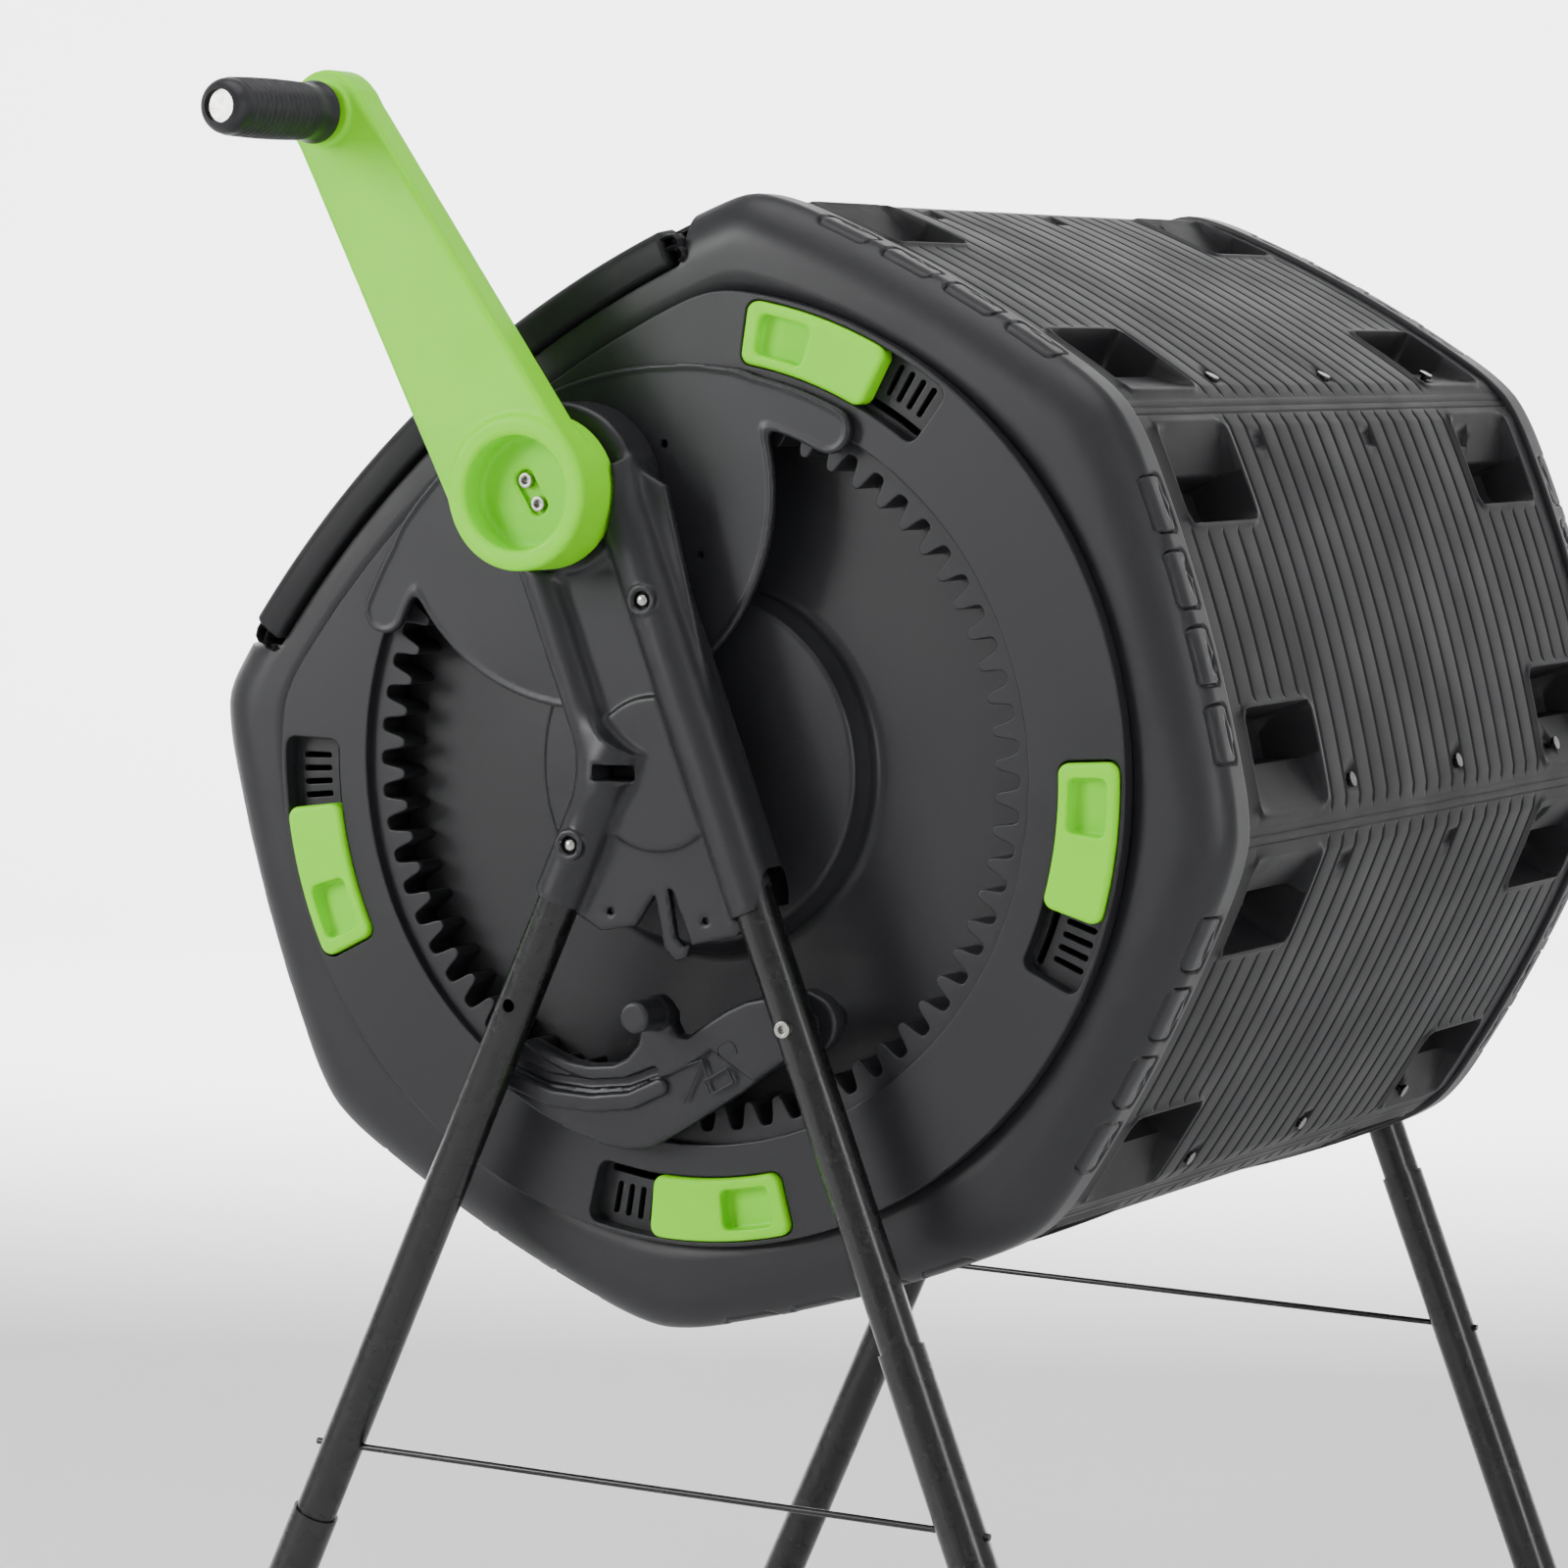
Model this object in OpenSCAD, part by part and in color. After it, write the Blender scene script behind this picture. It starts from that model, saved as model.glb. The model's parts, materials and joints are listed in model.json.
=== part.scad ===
// Geared compost tumbler: an eight-cornered drum on a central axle, carried by two
// A-frames. A crank turns a pinion inside the ring gear of one end cap.
// X runs along the axle with the crank at +X, the doors face -Y, and z = 0 is the floor.
// x = 0 is the middle of the whole length, from the rear bracket to the crank grip.

/* [Drum] */
// Width of the drum across its unrounded corners
drum_d = 694; // [570:2:840]
// Distance between the corner planes of the two end caps
drum_l = 676; // [540:4:820]
// How far each flat side bows outwards
side_bow = 9; // [4:1:14]
// How far the door side bows outwards
door_bow = 45; // [36:1:54]
// Wall of the plastic mouldings
wall = 3; // [2.5:0.1:3.6]
// Turn of the drum at rest
drum_turn = -3.6; // [-8:0.1:8]
// How far the panels run in under the rims of the caps
rim = 30; // [26:1:40]

/* [Gear] */
// Teeth of the ring gear in the end cap
ring_teeth = 66; // [60:1:72]
// Teeth of the crank pinion
pinion_teeth = 9; // [9:1:10]
// Direction of the crank axis from the axle, from +Y toward +Z
crank_angle = 114.4; // [105:0.2:125]
// Gap left between the tooth flanks
backlash = 1.6; // [1.2:0.1:2.4]

/* [Crank] */
// Distance from the crank axis to the grip axis
crank_throw = 262; // [200:2:310]
// Lean of the crank arm at rest, from upright toward -Y
crank_lean = 33; // [0:1:60]
// Diameter of the crank hub
crank_hub_d = 92; // [84:1:96]
// Length of the crank grip
grip_l = 104; // [84:1:130]

/* [Stand] */
// Height of the axle over the floor
axle_h = 770; // [640:5:930]
// Lean of each leg from upright
leg_lean = 22.5; // [20:0.5:27]
// Diameter of the upper leg tubes
leg_d = 25.4; // [22:0.1:28]
// Diameter of the lower leg tubes, which slide over the upper ones
lower_leg_d = 28.6; // [28:0.1:33]
// Distance of the straight leg's line from the axle
straight_leg_off = 35; // [32:0.5:38]
// Distance of the bent leg's line from the axle
bent_leg_off = 28.5; // [26:0.5:32]
// Diameter of the axle tube through the drum
axle_d = 25; // [20:1:30]

/* [Vents] */
// Angle that each vent slider covers
slider_angle = 19.6; // [16:0.2:21]
// Angle between neighbouring vents
vent_step = 78.3; // [76:0.1:80]

/* [Doors] */
// Length of each sliding door along the drum
door_l = 272; // [226:2:290]
// Angle of each door round the bowed side
door_angle = 22; // [18:0.5:23]

/* [Hidden] */
eps = 0.01;
R = drum_d / 2;
half = drum_l / 2;
side_half = R * sin(22.5);
apothem = R * cos(22.5);
side_r = (pow(side_half, 2) + pow(side_bow, 2)) / (2 * side_bow);
side_n = apothem + side_bow;
door_half = R * sin(45);
door_r = (pow(door_half, 2) + pow(door_bow, 2)) / (2 * door_bow);
door_n = R * cos(45) + door_bow;
corner_r = R - 4;
sides = [for (k = [0:5]) 67.5 - 45 * k];
door_side = 135;

// radii on the end caps, in step with the drum
disc_r = 0.824 * R;
vent_r0 = 0.7035 * R;
vent_r1 = 0.815 * R;
land_r = 0.646 * R;
ring_pitch_r = 0.599 * R;
tooth_m = 2 * ring_pitch_r / ring_teeth;
ring_root_r = ring_pitch_r + 1.36 * tooth_m;
ring_tip_r = ring_pitch_r - 1.2 * tooth_m;
pinion_r = pinion_teeth * tooth_m / 2;
pinion_tip_r = pinion_r + 1.05 * tooth_m;
pinion_root_r = pinion_r - 1.35 * tooth_m;
crank_a = ring_pitch_r - pinion_r;
boss_r = 0.311 * R;
shield_r = 0.69 * R;

// levels outward from the corner plane of a cap
floor_x = -12;
boss_x = 8;
face_x = 10;
land_x = 14;
disc_x = 20;
bar_x = 17;

// levels along the axle
shield_x = half + 22;
shield_t = 5;
bracket_back = shield_x + shield_t;
lever_x = half + 26;
lever_t = 14;
web_x = half + 51;
web_t = 6;
leg_x = half + 56;
housing_front = half + 61.5;
hub_back = half + 62;
hub_front = half + 104;

// depths below the outline on the door side
end_bar_depth = 27;
outer_track = 5.3;
inner_track = 10.3;
door_t = 2.7;
frame_depth = 15;
// the doors never reach past the end bars of a shorter drum
door_x1 = 14 + min(door_l, half - 52);

// depths below the outline at the panels
panel_in = wall + 0.3;
panel_t = 3;
reach = half - 12.5;

crank_y = crank_a * cos(crank_angle);
crank_z = crank_a * sin(crank_angle);
// the crank axis across the straight leg and up along it
crank_n = crank_y * cos(leg_lean) + crank_z * sin(leg_lean);
crank_s = crank_z * cos(leg_lean) - crank_y * sin(leg_lean);
housing_r = 51;

sleeve_r = leg_d / 2 + 3.6;
leg_bore = leg_d / 2 - 1.5;
sleeve_end = -97;
straight_top = 125;
bent_top = -34;
straight_joint = -365;
bent_joint = -522;
button_s = [97, -60];
lever_s = -168;
pivot_y = straight_leg_off * cos(leg_lean) - lever_s * sin(leg_lean);
pivot_z = straight_leg_off * sin(leg_lean) + lever_s * cos(leg_lean);
lock_turn = 5.4;
lever_k = drum_d / 694;
peg_r = 2.4;
tie_z = -427;
tie_r = 2.2;
foot_r = 21;
foot_h = 30;
shaft_r = 14;
grip_r = 16;

vents = [for (i = [0:3]) -45 + (1.5 - i) * vent_step];
window_angle = slider_angle + 9.4;
clip_w = 36;
clip_step = 46;
screw_x = [for (i = [-1.2:1:0.8]) i * (drum_l - 2 * rim) / 3.47];

plastic = "#3a3a3d";
lime = "#9bdc4a";
tube_black = "#1b1b1c";
steel = "#c9c9cc";

// ---- frames of reference ---------------------------------------------------

// carries a node from the middle of the drum to the middle of the whole length
middle_x = (hub_front + grip_l - housing_front) / 2;
module placed() translate([-middle_x, 0, 0]) children();

// round the axle, with the floor below
module on_axle() translate([0, 0, axle_h]) children();

// the drum's own frame: its first corner at 90 degrees
module in_drum() on_axle() rotate([drum_turn, 0, 0]) children();

// the outside of one end: the corner plane at x = 0, outward +X
module at_cap(end) mirror([end > 0 ? 0 : 1, 0, 0]) translate([half, 0, 0]) children();

// the same side at the other end of the drum
module at_end(end) mirror([end > 0 ? 0 : 1, 0, 0]) children();

// +Y turned about X to the angle a
module turned(a) rotate([a, 0, 0]) children();

// centred on the arc of the door side, or on the arc of a flat side
module on_door_arc() turned(door_side) translate([0, door_n - door_r, 0]) children();
module on_side_arc(a) turned(a) translate([0, side_n - side_r, 0]) children();

// along a leg: Z up the leg, through its own axis; lean > 0 for the straight leg
module on_leg(straight)
    on_axle() turned(straight ? leg_lean : -leg_lean)
        translate([leg_x, straight ? straight_leg_off : -bent_leg_off, 0]) children();

// ---- shared shapes -----------------------------------------------------------

// a 2D shape drawn in Y and Z, carried from x0 to x1
module across(x0, x1) translate([x0, 0, 0]) rotate([90, 0, 90]) linear_extrude(x1 - x0) children();

// a round bar along X
module bar(x0, x1, r0, r1 = undef, fn = 96)
    translate([x0, 0, 0]) rotate([0, 90, 0])
        cylinder(h = x1 - x0, r1 = r0, r2 = is_undef(r1) ? r0 : r1, $fn = fn);

// a sector of a ring about X, centred on the angle a
module ring_sector(x0, x1, r0, r1, a, span)
    translate([x0, 0, 0]) rotate([a - span / 2, 0, 0]) rotate([90, 0, 90])
        rotate_extrude(angle = span, $fn = 360)
            translate([r0, 0]) square([r1 - r0, x1 - x0]);

// ---- end caps ------------------------------------------------------------------

// the drum's outline between two levels, drawn in by i0 at x0 and by i1 at x1
module core(x0, x1, i0, i1)
    intersection() {
        intersection_for (a = sides) on_side_arc(a) bar(x0, x1, side_r - i0, side_r - i1, 720);
        on_door_arc() bar(x0, x1, door_r - i0, door_r - i1, 720);
        bar(x0, x1, corner_r - i0, corner_r - i1, 240);
    }

// one tooth gap of the ring gear, its middle on +Y
module ring_gap() {
    hw = PI * tooth_m / 4 + backlash / 4;
    flank = [[ring_tip_r - 3, 0.33], [ring_tip_r, 0.30], [ring_pitch_r, 0],
             [ring_root_r - 2.4, -0.36], [ring_root_r, -0.66]];
    polygon(concat(
        [for (p = flank) [p[0], -hw - p[1] * tooth_m]],
        [for (i = [len(flank) - 1:-1:0]) [flank[i][0], hw + flank[i][1] * tooth_m]]
    ));
}

// the open shape inside the ring gear
module ring_opening() {
    circle(r = ring_tip_r, $fn = 360);
    for (i = [0:ring_teeth - 1]) rotate(i * 360 / ring_teeth) ring_gap();
}

// the snap windows on the shoulder of a cap, four to each flat side
module clip_boxes(a, grow)
    for (j = [-1.5:1:1.5])
        turned(a) translate([-24 - grow, apothem - 20, j * clip_step - clip_w / 2 - grow])
            cube([21 + 2 * grow, 40, clip_w + 2 * grow]);

// the raised disc, flattened beside the doors
module disc(x0, x1, i)
    intersection() {
        bar(x0, x1, disc_r - i, undef, 240);
        on_door_arc() bar(x0 - 1, x1 + 1, door_r - 50 - i, undef, 720);
    }

module cap_outside() {
    core(-rim, -12, 0, 0);
    core(-12 - eps, 0, 0, 5);
    core(-eps, face_x, 5, 24);
    disc(face_x - 1, disc_x, 0);
}

module cap_inside() {
    core(-rim - 1, -12, wall, wall);
    core(-12 - eps, 0, wall, wall + 5);
    core(-eps, face_x - wall, wall + 5, wall + 18.3);
    disc(-1, disc_x - wall, wall);
}

module vent_slots(a)
    for (j = [0:3]) turned(a - window_angle / 2 + 1.8 + 2.1 * j)
        translate([0, vent_r0 + 8, -1.8]) cube([12, vent_r1 - vent_r0 - 16, 3.6]);

// an end cap, with the teeth of the ring gear where geared
module end_cap(geared) {
    difference() {
        union() {
            difference() {
                cap_outside();
                cap_inside();
                bar(floor_x, disc_x + 1, ring_root_r + 2, undef, 240);
            }
            difference() {
                bar(floor_x - wall, disc_x - eps, ring_root_r + 11, undef, 240);
                if (geared) across(floor_x, disc_x + 1) ring_opening();
                else bar(floor_x, disc_x + 1, ring_root_r - 2, undef, 240);
            }
            bar(floor_x - eps, boss_x, boss_r + 4, boss_r, 180);
            bar(floor_x - 40, 0, axle_d / 2 + 6, undef, 64);
            for (a = vents) ring_sector(5, disc_x - eps, vent_r0 - 2.4, vent_r1 + 2.4, a, window_angle + 1.4);
            // ledge under the curved end bar of the door frame
            on_door_arc()
                ring_sector(-rim, face_x - 1.5, door_r - end_bar_depth - 3.6, door_r - end_bar_depth, 0, 36.4);
        }
        bar(land_x, disc_x + 1, land_r, undef, 240);
        difference() {
            bar(floor_x - wall - 1, boss_x - wall, boss_r - 2, undef, 180);
            bar(floor_x - wall - 2, boss_x, axle_d / 2 + 6, undef, 64);
        }
        bar(floor_x - 41, disc_x + 1, axle_d / 2, undef, 64);
        for (a = vents) {
            ring_sector(8, disc_x + 1, vent_r0, vent_r1, a, window_angle);
            vent_slots(a);
        }
        for (a = sides) clip_boxes(a, 0);
        on_door_arc() {
            ring_sector(-rim - 1, disc_x + 1, door_r - end_bar_depth - 0.6, door_r + 9, 0, 34);
            ring_sector(8, disc_x + 1, door_r - 21, door_r - 5, 0, 37);
        }
    }
}

module crank_end_cap() color(plastic) in_drum() at_cap(1) end_cap(true);
module rear_end_cap() color(plastic) in_drum() at_cap(-1) end_cap(false);

// ---- side panels -----------------------------------------------------------------

// the wedge of space that belongs to one flat side
module panel_wedge(a, gap)
    intersection() {
        turned(a - 22.5) translate([-half - 30, 0, gap]) cube([2 * half + 60, 2 * R, R]);
        turned(a + 22.5) translate([-half - 30, 0, -R - gap]) cube([2 * half + 60, 2 * R, R]);
    }

// the hand scoops of a panel, two at each end: grown by t they give its walls
module scoops(t)
    for (e = [0, 1], m = [0, 1]) mirror([e, 0, 0]) mirror([0, 0, m])
        across(half - 152 - t, half - 52 + t)
            polygon([
                [side_n + 9, side_half - 14 + t], [side_n - 11 - t, side_half - 14 + t],
                [side_n - 22 - t, side_half - 44], [side_n - 40 - t, side_half - 48 + t],
                [side_n - 40 - t, side_half - 76 - t], [side_n + 9, side_half - 76 - t]
            ]);

// one side panel, with its seam flanges, scoops and snap tabs
module side_panel(k) {
    a = sides[k - 1];
    skin = side_r - panel_in;
    color(plastic) in_drum() difference() {
        union() {
            intersection() {
                panel_wedge(a, 0.5);
                difference() {
                    intersection() {
                        on_side_arc(a) bar(-reach, reach, skin, undef, 720);
                        bar(-reach, reach, corner_r - panel_in, undef, 240);
                    }
                    intersection() {
                        on_side_arc(a) bar(-reach - 1, reach + 1, skin - panel_t, undef, 720);
                        bar(-reach - 1, reach + 1, corner_r - panel_in - panel_t, undef, 240);
                    }
                }
            }
            intersection() {
                turned(a) scoops(2.4);
                on_side_arc(a) bar(-reach, reach, skin - 1, undef, 720);
            }
            for (m = [0, 1]) turned(a) mirror([0, 0, m]) turned(22.5)
                translate([-reach, corner_r - panel_in - 18, -3.5]) cube([2 * reach, 16, 3]);
            for (e = [1, -1]) at_cap(e) intersection() {
                on_side_arc(a) difference() {
                    intersection() {
                        bar(-24, 0, side_r - 0.3, undef, 720);
                        bar(-24, 0, side_r + 4.7, side_r - 5.3, 720);
                    }
                    bar(-25, 1, skin - panel_t - 2, undef, 720);
                }
                clip_boxes(a, -0.6);
            }
        }
        turned(a) scoops(0);
        for (x = screw_x) turned(a) on_screw(x) {
            translate([0, 0, -20]) cylinder(h = 60, r = 2.3, $fn = 24);
            translate([0, 0, -0.05]) cylinder(h = 30, r = 4.8, $fn = 32);
        }
    }
}

// the place of a panel screw beside a seam, Z outward from the seat of its head
module on_screw(x) translate([x, side_n - 10.3, 26 - side_half]) rotate([-90, 0, 0]) children();

module panel_screws() color(steel) in_drum() for (a = sides, x = screw_x)
    turned(a) on_screw(x) {
        translate([0, 0, -12]) cylinder(h = 12 + eps, r = 2.2, $fn = 24);
        cylinder(h = 2.4, r = 4.4, $fn = 32);
    }

// ---- door side --------------------------------------------------------------------

// a curved sheet of the door side, depths d0 to d1 below the outline
module door_sheet(x0, x1, d0, d1, a, span)
    on_door_arc() ring_sector(x0, x1, door_r - d1, door_r - d0, a, span);

module door_frame() color(plastic) in_drum() {
    edge = door_angle / 2;
    // the floor of the tracks, with an opening to each chamber
    difference() {
        door_sheet(-reach, reach, frame_depth, frame_depth + 3, 0, door_angle + 2.4);
        for (e = [1, -1]) at_end(e)
            door_sheet(20, door_x1 - 24, frame_depth - 1, frame_depth + 4, 0, door_angle - 2.4);
    }
    for (m = [0, 1]) turned(door_side) mirror([0, 0, m]) turned(-door_side) {
        // side land, running under the rims of the caps
        door_sheet(-reach, reach, panel_in, panel_in + 3, edge + 4.75, 8);
        // wall and lips of the two tracks
        door_sheet(-reach, reach, panel_in, frame_depth + 3, edge + 0.8, 0.5);
        door_sheet(-reach, reach, panel_in, outer_track - 0.3, edge + 0.1, 1.2);
        door_sheet(-reach, reach, outer_track + door_t + 0.3, inner_track - 0.3, edge + 0.1, 1.2);
    }
    // a curved end bar at each cap, on its web
    for (e = [1, -1]) at_end(e) {
        door_sheet(half - 14, half + bar_x, panel_in - 2.8, panel_in + 3, 0, 33.4);
        door_sheet(half + bar_x - 6, half + bar_x, panel_in - 2.8, end_bar_depth, 0, 33.4);
        for (m = [0, 1]) turned(door_side) mirror([0, 0, m]) turned(-door_side)
            door_sheet(half + bar_x - 6, half + bar_x - 1, 10, 14, 17.2, 1.4);
    }
}

// a sliding door with a raised pull at the edge that opens first
module sliding_door(end, track, pull_top)
    color(lime) in_drum() at_end(end) {
        door_sheet(14, door_x1, track, track + door_t, 0, door_angle - 0.6);
        difference() {
            door_sheet(door_x1 - 34, door_x1 - 12, pull_top, track + eps, 0, 9);
            door_sheet(door_x1 - 29, door_x1 - 17, pull_top - 1, track - 0.8, 0, 8.2);
        }
    }

module crank_end_door() sliding_door(1, outer_track, 1.2);
module rear_end_door() sliding_door(-1, inner_track, outer_track + door_t + 0.4);

// ---- inside the drum ----------------------------------------------------------------

module divider_wall() color(plastic) in_drum() difference() {
    intersection() {
        core(-1.5, 1.5, 24, 24);
        on_door_arc() bar(-2, 2, door_r - frame_depth - 5, undef, 720);
    }
    bar(-2, 2, axle_d / 2 + 0.4);
}

module axle_tube() color(steel) in_drum() difference() {
    bar(-half - 49, half + 49, axle_d / 2, undef, 64);
    bar(-half - 50, half + 50, axle_d / 2 - 2, undef, 64);
}

// ---- vents ---------------------------------------------------------------------------

// a slider that covers the slots of its vent as it turns about the axle
module vent_slider(end, k) {
    a = vents[k - 1];
    c = a + window_angle / 2 - slider_angle / 2 - 0.3;
    color(lime) in_drum() at_cap(end) difference() {
        ring_sector(8.3, disc_x + 4, vent_r0 + 0.4, vent_r1 - 0.4, c, slider_angle);
        ring_sector(12, disc_x + 5, vent_r0 + 7, vent_r1 - 7, c + 2.6, 8.4);
    }
}

// ---- stand ----------------------------------------------------------------------------

// the web between the sleeves, drawn round the axle
module web_outline(hook) {
    c = cos(leg_lean);
    s = sin(leg_lean);
    // a point n across and u up along a leg that leans by the given sign
    function at(n, u, sign = 1) = [n * c - sign * u * s, sign * n * s + u * c];
    difference() {
        polygon([
            at(-36, crank_s), at(straight_leg_off, crank_s), at(straight_leg_off + 4, sleeve_end + 3),
            [56, -91.5], [25, -100], [22, -108], [7, -101], [0, -71], [-12, -91], [-35, -96],
            at(-bent_leg_off - 4, sleeve_end + 2, -1), [-34, -8], at(-32, 8)
        ]);
        if (hook) polygon([[9, -68], [13, -70], [25.5, -99], [20, -104], [16.5, -99]]);
        polygon([[-34.5, -5], [-13, -5], [-13, 5], [-34.5, 5]]);
    }
}

// the moulded bracket that joins two legs, the axle and, at one end, the crank
module bracket(end, geared) color(plastic) on_axle() at_end(end) difference() {
    union() {
        across(web_x, web_x + web_t) web_outline(true);
        bar(web_x, web_x + web_t + 2.5, 46);
        bar(bracket_back, web_x + eps, 24);
        turned(leg_lean) {
            translate([0, 0, crank_s]) bar(bracket_back, housing_front, housing_r);
            translate([leg_x, straight_leg_off, sleeve_end])
                cylinder(h = crank_s - housing_r + 1 - sleeve_end, r = sleeve_r, $fn = 64);
            translate([bracket_back, straight_leg_off + sleeve_r - wall, sleeve_end])
                cube([leg_x - bracket_back, wall, crank_s - sleeve_end]);
            translate([leg_x, -32.5, 0]) cylinder(h = crank_s - housing_r + 1, r = 12.5, $fn = 64);
            translate([bracket_back, -45, 0]) cube([leg_x - bracket_back, wall, crank_s]);
        }
        turned(-leg_lean) {
            translate([leg_x, -bent_leg_off, sleeve_end]) cylinder(h = 4 - sleeve_end, r = sleeve_r, $fn = 64);
            translate([bracket_back, -bent_leg_off - sleeve_r, sleeve_end])
                cube([leg_x - bracket_back, wall, -sleeve_end]);
        }
    }
    // hollow back of the housing
    turned(leg_lean) translate([0, 0, crank_s]) difference() {
        bar(bracket_back - 1, housing_front - 6, housing_r - wall);
        translate([0, crank_n, 0]) bar(bracket_back - 2, housing_front, shaft_r + 5);
        translate([bracket_back - 2, straight_leg_off - sleeve_r, -2 * housing_r])
            cube([100, 2 * sleeve_r, 4 * housing_r]);
    }
    // bores of the two leg tubes
    turned(leg_lean) translate([leg_x, straight_leg_off, sleeve_end - 25])
        cylinder(h = straight_top - sleeve_end + 25, r = leg_d / 2, $fn = 64);
    turned(-leg_lean) translate([leg_x, -bent_leg_off, sleeve_end - 25])
        cylinder(h = bent_top - sleeve_end + 25, r = leg_d / 2, $fn = 64);
    button_holes(4.4);
    // bearing of the axle, and of the crank where there is one
    bar(bracket_back - 1, web_x - 0.5, axle_d / 2 + 4, undef, 64);
    if (geared) turned(leg_lean) translate([0, crank_n, crank_s]) bar(bracket_back - 3, hub_back, shaft_r + 0.05, undef, 64);
}

// the holes that the snap buttons stand in, or the buttons themselves
module button_holes(r) {
    turned(leg_lean) translate([0, straight_leg_off, button_s[0]]) bar(leg_x + leg_bore - 3, leg_x + 30, r, undef, 32);
    turned(-leg_lean) translate([0, -bent_leg_off, button_s[1]]) bar(leg_x + leg_bore - 3, leg_x + 30, r, undef, 32);
}

module crank_bracket() bracket(1, true);
module rear_bracket() bracket(-1, false);

module gear_shield() color(plastic) on_axle() difference() {
    across(shield_x, shield_x + shield_t) {
        intersection() {
            circle(r = shield_r, $fn = 240);
            translate([crank_y, crank_z]) circle(r = 131, $fn = 180);
        }
        intersection() {
            difference() {
                circle(r = shield_r, $fn = 240);
                circle(r = shield_r - 28, $fn = 240);
            }
            polygon([[0, 0], 2 * R * [cos(66), sin(66)], 2 * R * [cos(110), sin(110)],
                     2 * R * [cos(158), sin(158)]]);
        }
        for (t = [66, 158]) rotate(t) translate([shield_r - 14, 0]) circle(r = 14, $fn = 48);
    }
    translate([0, crank_y, crank_z]) bar(shield_x - 1, shield_x + shield_t + 1, shaft_r + 1.2, undef, 64);
    for (p = [[-17, 193], [9, 129]]) translate([0, p[0], p[1]]) bar(shield_x - 1, shield_x + 6, 2.4, undef, 24);
}

module axle_bushes() color("#d8d8d4") on_axle() for (e = [1, -1]) at_end(e) difference() {
    union() {
        bar(half + 29, web_x - 1, axle_d / 2 + 4, undef, 64);
        bar(half + 24.5, half + 27, axle_d / 2 + 8, undef, 64);
        bar(half + 26.9, half + 29.1, axle_d / 2 + 4, undef, 64);
    }
    bar(half + 20, web_x, axle_d / 2 + 0.05, undef, 64);
}

// an upper leg tube, from its top to below its joint with the lower tube
module upper_leg(end, straight) {
    top = straight ? straight_top : bent_top;
    joint = straight ? straight_joint : bent_joint;
    color(tube_black) at_end(end) difference() {
        on_leg(straight) difference() {
            translate([0, 0, joint - 60]) cylinder(h = top - joint + 60, r = leg_d / 2, $fn = 64);
            translate([0, 0, joint - 61]) cylinder(h = top - joint + 62, r = leg_bore, $fn = 64);
            translate([0, 0, straight ? button_s[0] : button_s[1]]) bar(0, leg_d, 4.2, undef, 32);
            translate([0, 0, lever_s]) bar(-leg_d, leg_d, 4.05, undef, 32);
        }
        if (!straight) tie_bar(tie_r, 1);
    }
}

// a lower leg tube, from the joint into its foot
module lower_leg(end, straight) {
    joint = straight ? straight_joint : bent_joint;
    color(tube_black) at_end(end) difference() {
        on_leg(straight) difference() {
            translate([0, 0, leg_bottom(straight)]) cylinder(h = joint - leg_bottom(straight), r = lower_leg_d / 2, $fn = 64);
            translate([0, 0, leg_bottom(straight) - 1])
                cylinder(h = joint - leg_bottom(straight) + 2, r = leg_d / 2 + 0.05, $fn = 64);
        }
        if (straight) tie_bar(tie_r, 1);
    }
}

// where a leg tube ends, measured along it from the axle
function leg_bottom(straight) =
    (12 - axle_h - (straight ? straight_leg_off : bent_leg_off) * sin(leg_lean)) / cos(leg_lean);

// where a leg's line meets the height z below the axle, across from the axle
function leg_y(straight, z) =
    (straight ? 1 : -1) * ((straight ? straight_leg_off : bent_leg_off) - z * sin(leg_lean)) / cos(leg_lean);

module crank_straight_leg() upper_leg(1, true);
module crank_bent_leg() upper_leg(1, false);
module rear_straight_leg() upper_leg(-1, true);
module rear_bent_leg() upper_leg(-1, false);
module crank_straight_lower_leg() lower_leg(1, true);
module crank_bent_lower_leg() lower_leg(1, false);
module rear_straight_lower_leg() lower_leg(-1, true);
module rear_bent_lower_leg() lower_leg(-1, false);

// the thin rod between the two legs of one A-frame
module tie_bar(r, over) on_axle()
    translate([leg_x, leg_y(false, tie_z) - 18 - over, tie_z]) rotate([-90, 0, 0])
        cylinder(h = leg_y(true, tie_z) - leg_y(false, tie_z) + 36 + 2 * over, r = r, $fn = 24);

module tie_rods() color(steel) for (e = [1, -1]) at_end(e) tie_bar(tie_r - 0.1, 0);

module leg_feet() color("#202020") for (e = [1, -1], straight = [true, false]) at_end(e) difference() {
    translate([leg_x, leg_y(straight, foot_h / 2 - axle_h), 0]) {
        cylinder(h = 6, r1 = foot_r - 2, r2 = foot_r, $fn = 64);
        translate([0, 0, 6 - eps]) cylinder(h = foot_h - 6, r1 = foot_r, r2 = foot_r - 3, $fn = 64);
    }
    on_leg(straight) translate([0, 0, leg_bottom(straight) - 0.5])
        cylinder(h = 200, r = lower_leg_d / 2, $fn = 64);
}

module snap_buttons() color(steel) on_axle() for (e = [1, -1]) at_end(e) {
    turned(leg_lean) translate([0, straight_leg_off, button_s[0]]) snap_button();
    turned(-leg_lean) translate([0, -bent_leg_off, button_s[1]]) snap_button();
}
module snap_button() {
    bar(leg_x + leg_bore - 4.6, leg_x + leg_bore - 1.7, 5.2, undef, 32);
    bar(leg_x + leg_bore - 1.8, leg_x + sleeve_r - 0.6, 4, undef, 32);
}

// ---- crank ------------------------------------------------------------------------------

module on_crank() on_axle() translate([0, crank_y, crank_z]) children();

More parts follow.
